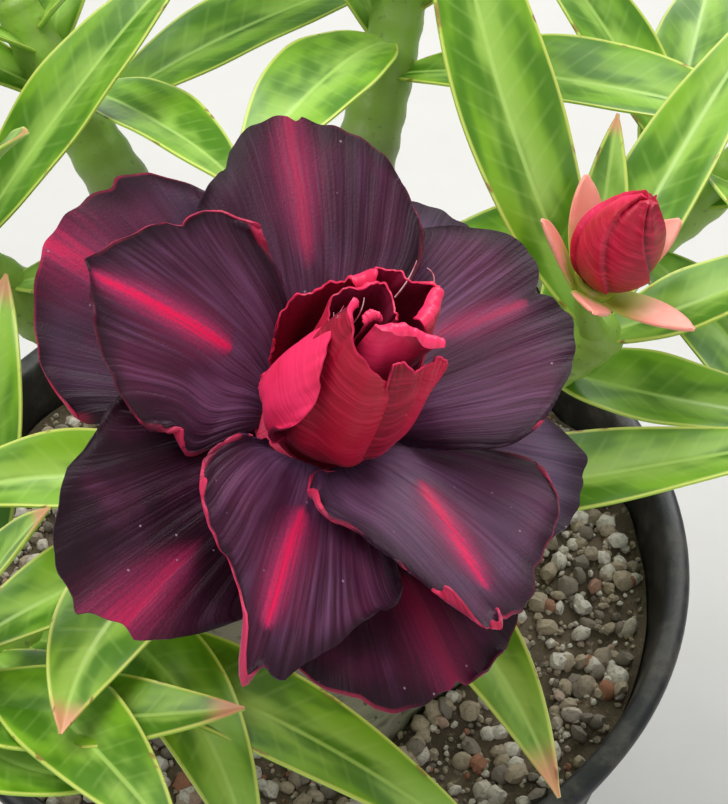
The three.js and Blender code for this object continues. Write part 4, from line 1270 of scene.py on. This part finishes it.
class DESERTROSE_OT_bud(bpy.types.Operator):
    """Adds the closed twisted bud"""

    bl_idname = "desertrose.bud"
    bl_label = "Bud"

    def execute(self, context):
        bloom = context.scene.desert_rose_bloom
        rise, turn = np.meshgrid(
            np.linspace(0, 1, 61), np.linspace(0, 1, 160, endpoint=False), indexing="ij")
        points, wound = bud_surface(rise, turn)
        shape = Shape()
        # bright paints a highlight on the lit lobe at the top left; shade paints shade in the groove behind
        # each step and on one side of the bud
        ring_body(shape, set_in(points, flower_frame(BUD)), vein=turn * 40, run=rise * BUD_LENGTH,
                  edge=0.25 + 9 * np.abs(wound - 0.94), under=1.0, lip=0.0, tone=0.7,
                  bright=0.85 * lobe(turn, 0.4, 0.11) * ease(2 * rise),
                  shade=0.25 + 0.65 * ease(1 - wound * 5) + 0.35 * lobe(turn, 0.84, 0.3))
        shape.piece("bud_wound_petals", [satin_petal(bloom)], "crimson_petal", "bud")
        return {"FINISHED"}


def branch_controls(shoot):
    """Control points of a branch: up first, then out, and up again at the end."""
    neck = np.array(NECK, float)
    tip = np.array(shoot["tip"], float)
    out = tip - neck
    first = neck + (out[0] * 0.22, out[1] * 0.22, shoot["lift"])
    second = tip - (out[0] * 0.2, out[1] * 0.2, shoot["lift"])
    return neck, first, second, tip


def shoot_leaves(shoot):
    """Each leaf of a shoot as its midrib's control points, width and roll in degrees."""
    controls = branch_controls(shoot)

    def station(at):
        return evenly(controls, np.array([lerp(*LEAF_STATIONS, at)]))[0]

    for at, bend, tip, width in shoot.get("leaves", ()):
        yield (station(at), np.array(bend, float), np.array(tip, float)), width, 0.0
    spiral = shoot.get("spiral", {"count": 0})
    for k in range(spiral["count"]):
        share = (k + 0.5) / spiral["count"]
        heading = math.radians(spiral["turn"] + GOLDEN_ANGLE * k)
        climb = math.radians(lerp(*spiral["rise"], share))
        reach = lerp(*spiral["length"], share)
        base = station(lerp(0.3, 1, share))
        way = ring(math.cos(climb), math.sin(climb), heading) * reach
        bend = base + way * 0.5 + (0, 0, LEAF_ARCH * reach * math.cos(climb))
        roll = LEAF_ROLL * math.sin(2.3 * k)
        yield (base, bend, base + way), lerp(*spiral["width"], share), roll


def leaf_surface(midrib, width, roll, seed):
    """A lance-shaped leaf along its midrib, with both halves folded up from it."""
    base, bend, tip = midrib
    above = np.array([0, 0, 1]) - 0.5 * unit((tip - base) * (1, 1, 0))
    size = run_of(bezier(midrib, np.linspace(0, 1, 40)))[-1]
    turn = math.radians(roll)

    def surface(t, s):
        centre = bezier(midrib, s)
        tangent = unit(lerp(bend - base, tip - bend, s[..., None]))
        level = unit(np.cross(np.broadcast_to(above, tangent.shape), tangent))
        upright = np.cross(tangent, level)
        side = level * math.cos(turn) + upright * math.sin(turn)
        face = upright * math.cos(turn) - level * math.sin(turn)
        lance = width / 2 * np.sin(math.pi * s ** 0.92) ** 0.85
        half = np.maximum(lance, lerp(PETIOLE_WIDTH, LEAF_TIP_WIDTH * 0.5, s) / 2)
        rounded = np.sqrt(t * t + 0.006) - math.sqrt(0.006)
        ripple = 0.02 * np.sin(23 * s + seed * 9 + 2 * t) * t * t
        wave = LEAF_WAVE * np.sin(9 * s + 2 * t) + ripple
        lift = half * (rounded * math.tan(LEAF_FOLD) + wave)
        points = centre - side * (t * half)[..., None] + face * lift[..., None]
        return points, {
            "across": t * half,
            "run": s * size,
            "edge": np.minimum((1 - np.abs(t)) * half, (1 - s) * size + 0.2),
            "tip": s,
        }

    return surface


def sepal_surface(flower, k):
    """One pointed sepal in its flower's frame, leaning out from the cup under the corolla."""
    sepals = flower["sepals"]
    heading = math.radians(360 / SEPALS * (k + 0.5))
    lean = math.radians(sepals["leans"][k])

    def surface(t, s):
        point = sepals["width"] / 2 * np.sin(math.pi * (0.2 + 0.8 * s)) ** 0.6
        x = t * np.maximum(point, 0.35)
        out = 3.1 + sepals["length"] * math.sin(lean) * s + 0.35 * np.cos(t * 1.4)
        sag = 1.5 * math.sin(lean) * s * s
        up = flower["foot"] - 1.6 + sepals["length"] * math.cos(lean) * s - sag
        return ring(out, up, heading) + ring(x, 0, heading - math.pi / 2), {"tip": s}

    return surface


class DESERTROSE_OT_leafy_shoots(bpy.types.Operator):
    """Adds each green stem with its leaves and, where it flowers, its stalk and calyx"""

    bl_idname = "desertrose.leafy_shoots"
    bl_label = "Leafy shoots"

    def execute(self, context):
        leaf = context.scene.desert_rose_leaf
        materials = [glossy_leaf(leaf), green_stem(leaf), blushed_sepal(leaf)]
        tones = np.random.default_rng(SEED)
        for shoot in SHOOTS:
            shape = Shape()
            self.add_stem(shape, shoot)
            for midrib, width, roll in shoot_leaves(shoot):
                tone = tones.random()
                blade(shape, leaf_surface(midrib, width, roll, tone), LEAF_GRID,
                      leaf.thickness / MM, tone=tone)
            if "flower" in shoot:
                self.add_calyx(shape, shoot)
            shape.piece(shoot["name"] + "_fine", materials, "leaf", shoot["name"])
        return {"FINISHED"}

    def add_stem(self, shape, shoot):
        shares = np.linspace(0, 1, STEM_STEPS)
        line = evenly(branch_controls(shoot), np.linspace(WOOD_SHARE, 1, STEM_STEPS))
        radii = along(SHOOT_RADII, shares) * (1 + 0.03 * np.sin(np.arange(STEM_STEPS) * 1.3))
        ahead = unit(line[-1] - line[-2])
        line = np.concatenate([line, [line[-1] + ahead * rise for rise, _ in SHOOT_END]])
        radii = np.concatenate([radii, [radius for _, radius in SHOOT_END]])
        ring_body(shape, swept(line, radii, 24), slot=1, run=run_of(line)[:, None])

    def add_calyx(self, shape, shoot):
        flower = shoot["flower"]
        place = flower_frame(flower)
        foot = flower["foot"]
        start = np.array(shoot["tip"], float) - (0, 0, 3)
        below, cup = (set_in(np.array((0, 0, foot - drop)), place) for drop in (7, 2.4))
        shares = np.linspace(0, 1, 24)
        line = evenly((start, below, cup), shares)
        ring_body(shape, swept(line, along(STALK_RADII, shares), 16), slot=1, run=20.0)
        profile = ((ON_AXIS, -3), *CUP_PROFILE, (ON_AXIS, 0))
        rings = turned(profile, 32) + (0, 0, foot - GAP)
        ring_body(shape, set_in(rings, place), slot=2, tip=0.1)
        for k in range(SEPALS):
            blade(shape, sepal_surface(flower, k), SEPAL_GRID, SEPAL_THICKNESS, slot=2, place=place)


# ---------------------------------------------------------------- caudex

def caudex_radius(angle, z):
    """Radius at an angle (degrees) and height: a swollen body with soft lobes and root flares."""
    rise = (z - CAUDEX_FOOT) / (CAUDEX_TOP - CAUDEX_FOOT)
    radians = np.radians(angle)
    lobes = 0.05 * np.cos(3 * radians + 0.8) + 0.045 * np.cos(5 * radians + 2.1 + 2 * rise)
    level = np.exp(-(((z - ROOT_LEVEL) / ROOT_HEIGHT) ** 2))
    aside = [np.abs((angle - root + 540) % 360 - 180) / ROOT_BREADTH for root in ROOT_ANGLES]
    flare = sum(np.exp(-(share ** 2)) for share in aside)
    return along(CAUDEX_RADII, rise) * (1 + lobes) + ROOT_SPREAD * flare * level


class DESERTROSE_OT_caudex(bpy.types.Operator):
    """Adds the swollen caudex with its woody branches, grown as one piece"""

    bl_idname = "desertrose.caudex"
    bl_label = "Caudex"

    def execute(self, context):
        wood = context.scene.desert_rose_wood
        shape = Shape()
        z, angle = np.meshgrid(
            np.linspace(CAUDEX_FOOT, CAUDEX_TOP, 90), np.linspace(0, 360, 144, endpoint=False),
            indexing="ij")
        ring_body(shape, ring(caudex_radius(angle, z), z, np.radians(angle)))
        radii = along(BRANCH_RADII, np.linspace(0, 1, STEM_STEPS))
        for shoot in SHOOTS:
            line = evenly(branch_controls(shoot), np.linspace(0, WOOD_SHARE, STEM_STEPS))
            ring_body(shape, swept(line, radii, 32))
        made = shape.piece("caudex_bark", [caudex_bark(wood)], "bark", "caudex")
        remesh = made.modifiers.new("joined", "REMESH")
        remesh.mode = "VOXEL"
        remesh.voxel_size = CAUDEX_VOXEL * MM
        soften = made.modifiers.new("grown_together", "SMOOTH")
        soften.factor = 0.5
        soften.iterations = 12
        settled(made)
        self.wrinkle(made.data, wood.wrinkle / MM)
        made.data.shade_smooth()
        return {"FINISHED"}

    def wrinkle(self, mesh, depth):
        """Moves the skin in and out: creases that run round it, 3 mm high, and swells of 22 mm."""
        points, normals = np.zeros((2, len(mesh.vertices) * 3))
        mesh.vertices.foreach_get("co", points)
        mesh.vertex_normals.foreach_get("vector", normals)
        points = points.reshape(-1, 3) / MM
        relief = 0.7 * rough(points * (1, 1, 3.2), 0.11, 1.0) + 0.8 * rough(points, 0.045, 1.0)
        points = points + normals.reshape(-1, 3) * (depth * relief)[:, None]
        mesh.vertices.foreach_set("co", (points * MM).ravel())
        mesh.update()


# ---------------------------------------------------------------- pot and mix

def outer_radius(z):
    """Outer radius of the pot's wall at a height."""
    return lerp(POT_FOOT_RADIUS, POT_TOP_RADIUS, z / POT_HEIGHT)


def mix_height(x, y):
    """Height of the mix's gently uneven top."""
    coarse = np.sin(0.23 * x + 0.6) * np.cos(0.19 * y - 0.4)
    fine = np.sin(0.47 * x - 0.38 * y + 1.1)
    return MIX_LEVEL + MIX_RELIEF * (coarse + 0.7 * fine)


def pot_profile():
    """(radius, height) points from the middle of the pot's underside over its rim to its floor."""
    lip = POT_HEIGHT - RIM_HEIGHT
    under_rim = outer_radius(lip)
    rim = POT_TOP_RADIUS + RIM_OVERHANG
    outside = [(outer_radius(z), z) for z in np.linspace(2.2, lip - 1, 24)]
    inside = [
        (outer_radius(z) - POT_WALL, z) for z in np.linspace(POT_HEIGHT - 6, POT_FLOOR + 1.5, 20)]
    return (
        (ON_AXIS, 0),
        (POT_FOOT_RADIUS - 2, 0),
        (POT_FOOT_RADIUS - 0.8, 0.4),
        (POT_FOOT_RADIUS - 0.2, 1.2),
        *outside,
        (under_rim + 0.5, lip + 0.1),
        (under_rim + RIM_OVERHANG - 0.6, lip + 0.7),
        (under_rim + RIM_OVERHANG, lip + 1.3),
        (rim, POT_HEIGHT - 1.5),
        (rim - 0.3, POT_HEIGHT - 0.6),
        (rim - 1, POT_HEIGHT - 0.1),
        (rim - 1.8, POT_HEIGHT),
        (POT_TOP_RADIUS - 0.6, POT_HEIGHT),
        (POT_TOP_RADIUS - 1.3, POT_HEIGHT - 0.4),
        (outer_radius(POT_HEIGHT - 2) - POT_WALL, POT_HEIGHT - 2),
        *inside,
        (outer_radius(POT_FLOOR) - POT_WALL - 1.2, POT_FLOOR),
        (ON_AXIS, POT_FLOOR),
    )


class DESERTROSE_OT_pot(bpy.types.Operator):
    """Adds the thin-walled pot with its rolled rim and drain holes"""

    bl_idname = "desertrose.pot"
    bl_label = "Nursery pot"

    def execute(self, context):
        pot = context.scene.desert_rose_pot
        shape = Shape()
        ring_body(shape, turned(pot_profile(), 144))
        made = shape.piece("pot_shell", [moulded_plastic(pot)], "pot_plastic", "nursery_pot", sharp=50)
        drills = Shape()
        drill = turned(((DRAIN_RADIUS, -4), (DRAIN_RADIUS, POT_FLOOR * 2)), 32)
        for k in range(DRAIN_HOLES):
            ring_body(drills, drill + ring(DRAIN_CIRCLE, 0, 2 * math.pi * (k + 0.5) / DRAIN_HOLES))
        tool = drills.object("drills")
        cut = made.modifiers.new("drain_holes", "BOOLEAN")
        cut.object = tool
        cut.operation = "DIFFERENCE"
        settled(made)
        bpy.data.meshes.remove(tool.data)
        return {"FINISHED"}


class DESERTROSE_OT_mix(bpy.types.Operator):
    """Adds the gritty mix: its bed of fines and the stones and grains that lie on it"""

    bl_idname = "desertrose.mix"
    bl_label = "Gritty mix"

    def execute(self, context):
        pot = context.scene.desert_rose_pot
        wall = outer_radius(MIX_LEVEL) - POT_WALL - GAP
        shape = Shape()
        ring_body(shape, self.bed(wall))
        shape.piece("mix_bed", [moist_fines(pot)], "potting_mix", "potting_mix")
        self.scatter(pot, wall)
        return {"FINISHED"}

    def bed(self, wall):
        """Rings up the pot's wall, over the top and down the hole in which the caudex stands."""
        degrees = np.linspace(0, 360, 180, endpoint=False)
        angle = np.radians(degrees)
        foot = POT_FLOOR + GAP
        rings = [
            ring(ON_AXIS, foot, angle),
            ring(outer_radius(foot) - POT_WALL - GAP, foot, angle),
            ring(wall, MIX_LEVEL - 1, angle),
        ]
        hole = caudex_radius(degrees, np.full_like(degrees, MIX_LEVEL)) + GAP
        for share in np.linspace(0, 1, 44):
            top = ring(lerp(wall, hole, share), MIX_LEVEL, angle)
            crumbs = rough(top, 0.35, 0.5) * min(1, 8 * share)
            top[:, 2] = mix_height(top[:, 0], top[:, 1]) + crumbs
            rings.append(top)
        for z in np.linspace(MIX_LEVEL - 4, CAUDEX_FOOT - GAP, 12):
            level = np.full_like(degrees, max(z, CAUDEX_FOOT))
            rings.append(ring(caudex_radius(degrees, level) + GAP, z, angle))
        rings.append(ring(ON_AXIS, CAUDEX_FOOT - GAP, angle))
        return rings

    def scatter(self, pot, wall):
        """Stones, and then small grains, between the caudex and the pot's wall."""
        draw = np.random.default_rng(SEED)
        shape = Shape()
        for subdivisions, count, low, high in ((2, pot.stones, 0.5, 1.0), (1, pot.grains, 0.2, 0.42)):
            ball = bmesh.new()
            bmesh.ops.create_icosphere(ball, subdivisions=subdivisions, radius=0.5)
            points = np.array([v.co[:] for v in ball.verts])
            faces = np.array([[v.index for v in f.verts] for f in ball.faces])
            ball.free()
            for _ in range(count):
                size = pot.grit_size / MM * draw.uniform(low, high)
                self.add_stone(shape, draw, points, faces, wall, size)
        shape.piece("grit", [crushed_stone(pot)], "potting_mix", sharp=35)

    def add_stone(self, shape, draw, points, faces, wall, size):
        """A ball stretched, roughened and turned at random, sunk a little into the mix."""
        degrees = draw.uniform(0, 360)
        inner = float(caudex_radius(np.array(degrees), np.array(MIX_LEVEL))) + size * 0.4
        outer = wall - size * 0.55
        radius = math.sqrt(draw.uniform(inner ** 2, outer ** 2))
        place = ring(radius, 0.0, math.radians(degrees))
        axes, _ = np.linalg.qr(draw.normal(size=(3, 3)))
        points = points * size * draw.uniform(0.65, 1.15, 3)
        points = points * (1 + draw.normal(0, 0.09, (len(points), 1)))
        place[2] = mix_height(place[0], place[1]) + size * 0.22
        if np.linalg.det(axes) < 0:
            faces = faces[:, ::-1]
        shape.add(points @ axes.T + place, (faces,), tone=draw.random())


# ---------------------------------------------------------------- stage

# The point that the camera and the lights look at and the sensor's width are in mm, and the
# floor and the lights in metres
LOOK_AT = (13.2, -60.2, 237.6)
SENSOR = 36.0
FLOOR_HALF = 8.0
FLOOR_DROP = 0.0005
# Each light's name, place, diameter and share of the key light's power
LIGHTS = (
    ("key", (-0.4, 0.1, 1.35), 1.0, 1.0),
    ("back", (0.4, 0.95, 0.95), 0.9, 0.8),
    ("fill", (0.7, -0.9, 0.8), 1.1, 0.25),
)


class DESERTROSE_OT_stage(bpy.types.Operator):
    """Adds the floor, the soft light and the camera"""

    bl_idname = "desertrose.stage"
    bl_label = "Stage"

    def execute(self, context):
        stage = context.scene.desert_rose_stage
        self.add_floor(stage)
        self.add_lights(stage)
        self.add_sky()
        self.add_camera(stage)
        context.scene.view_settings.view_transform = "Standard"
        return {"FINISHED"}

    def add_floor(self, stage):
        mesh = bpy.data.meshes.new("floor")
        signs = ((-1, -1), (1, -1), (1, 1), (-1, 1))
        corners = [(x * FLOOR_HALF, y * FLOOR_HALF, 0) for x, y in signs]
        mesh.from_pydata(corners, [], [(0, 1, 2, 3)])
        mesh.materials.append(painted_floor(stage))
        floor = placed("floor", mesh)
        floor.location.z = -FLOOR_DROP
        floor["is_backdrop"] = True

    def add_lights(self, stage):
        target = Vector(LOOK_AT) * MM
        for name, place, size, share in LIGHTS:
            light = bpy.data.lights.new(name, "AREA")
            light.shape = "DISK"
            light.size = size
            light.energy = stage.key_power * share
            made = placed(name, light)
            made.location = place
            made.rotation_euler = (target - made.location).to_track_quat("-Z", "Y").to_euler()

    def add_sky(self):
        world = bpy.data.worlds.new("soft_sky")
        world.use_nodes = True
        sky = world.node_tree.nodes["Background"]
        sky.inputs["Color"].default_value = linear("#eef2f6")
        sky.inputs["Strength"].default_value = 0.5
        bpy.context.scene.world = world

    def add_camera(self, stage):
        camera = bpy.data.cameras.new("camera")
        camera.lens = stage.lens
        camera.sensor_width = SENSOR
        camera.clip_start = 0.01
        made = placed("camera", camera)
        back = Vector((0, -math.cos(stage.elevation), math.sin(stage.elevation)))
        made.location = Vector(LOOK_AT) * MM + back * stage.distance
        made.rotation_mode = "QUATERNION"
        made.rotation_quaternion = (-back).to_track_quat("-Z", "Y")
        bpy.context.scene.camera = made


# ---------------------------------------------------------------- panel and registration

OPERATORS = (
    DESERTROSE_OT_stage,
    DESERTROSE_OT_pot,
    DESERTROSE_OT_mix,
    DESERTROSE_OT_caudex,
    DESERTROSE_OT_leafy_shoots,
    DESERTROSE_OT_dark_petals,
    DESERTROSE_OT_heart,
    DESERTROSE_OT_bud,
)


class DESERTROSE_PT_panel(bpy.types.Panel):
    """Lists the pieces of the potted desert rose and their settings"""

    bl_idname = "DESERTROSE_PT_panel"
    bl_label = "Potted desert rose"
    bl_space_type = "VIEW_3D"
    bl_region_type = "UI"
    bl_category = "Desert rose"

    def draw(self, context):
        column = self.layout.column()
        for operator in OPERATORS:
            column.operator(operator.bl_idname)
        for name, group in SETTINGS.items():
            box = self.layout.box()
            for field in group.__annotations__:
                box.prop(getattr(context.scene, name), field)


CLASSES = (*SETTINGS.values(), *OPERATORS, DESERTROSE_PT_panel)


def register():
    for made in CLASSES:
        bpy.utils.register_class(made)
    for name, group in SETTINGS.items():
        setattr(bpy.types.Scene, name, PointerProperty(type=group))


def unregister():
    for name in SETTINGS:
        delattr(bpy.types.Scene, name)
    for made in reversed(CLASSES):
        bpy.utils.unregister_class(made)


def main():
    register()
    for operator in OPERATORS:
        family, name = operator.bl_idname.split(".")
        getattr(getattr(bpy.ops, family), name)()
    boxes = {"cad": CAD_BOX, "visual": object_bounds()}
    {key: [list(corner) for corner in box] for key, box in boxes.items()}


if __name__ == "__main__":
    main()
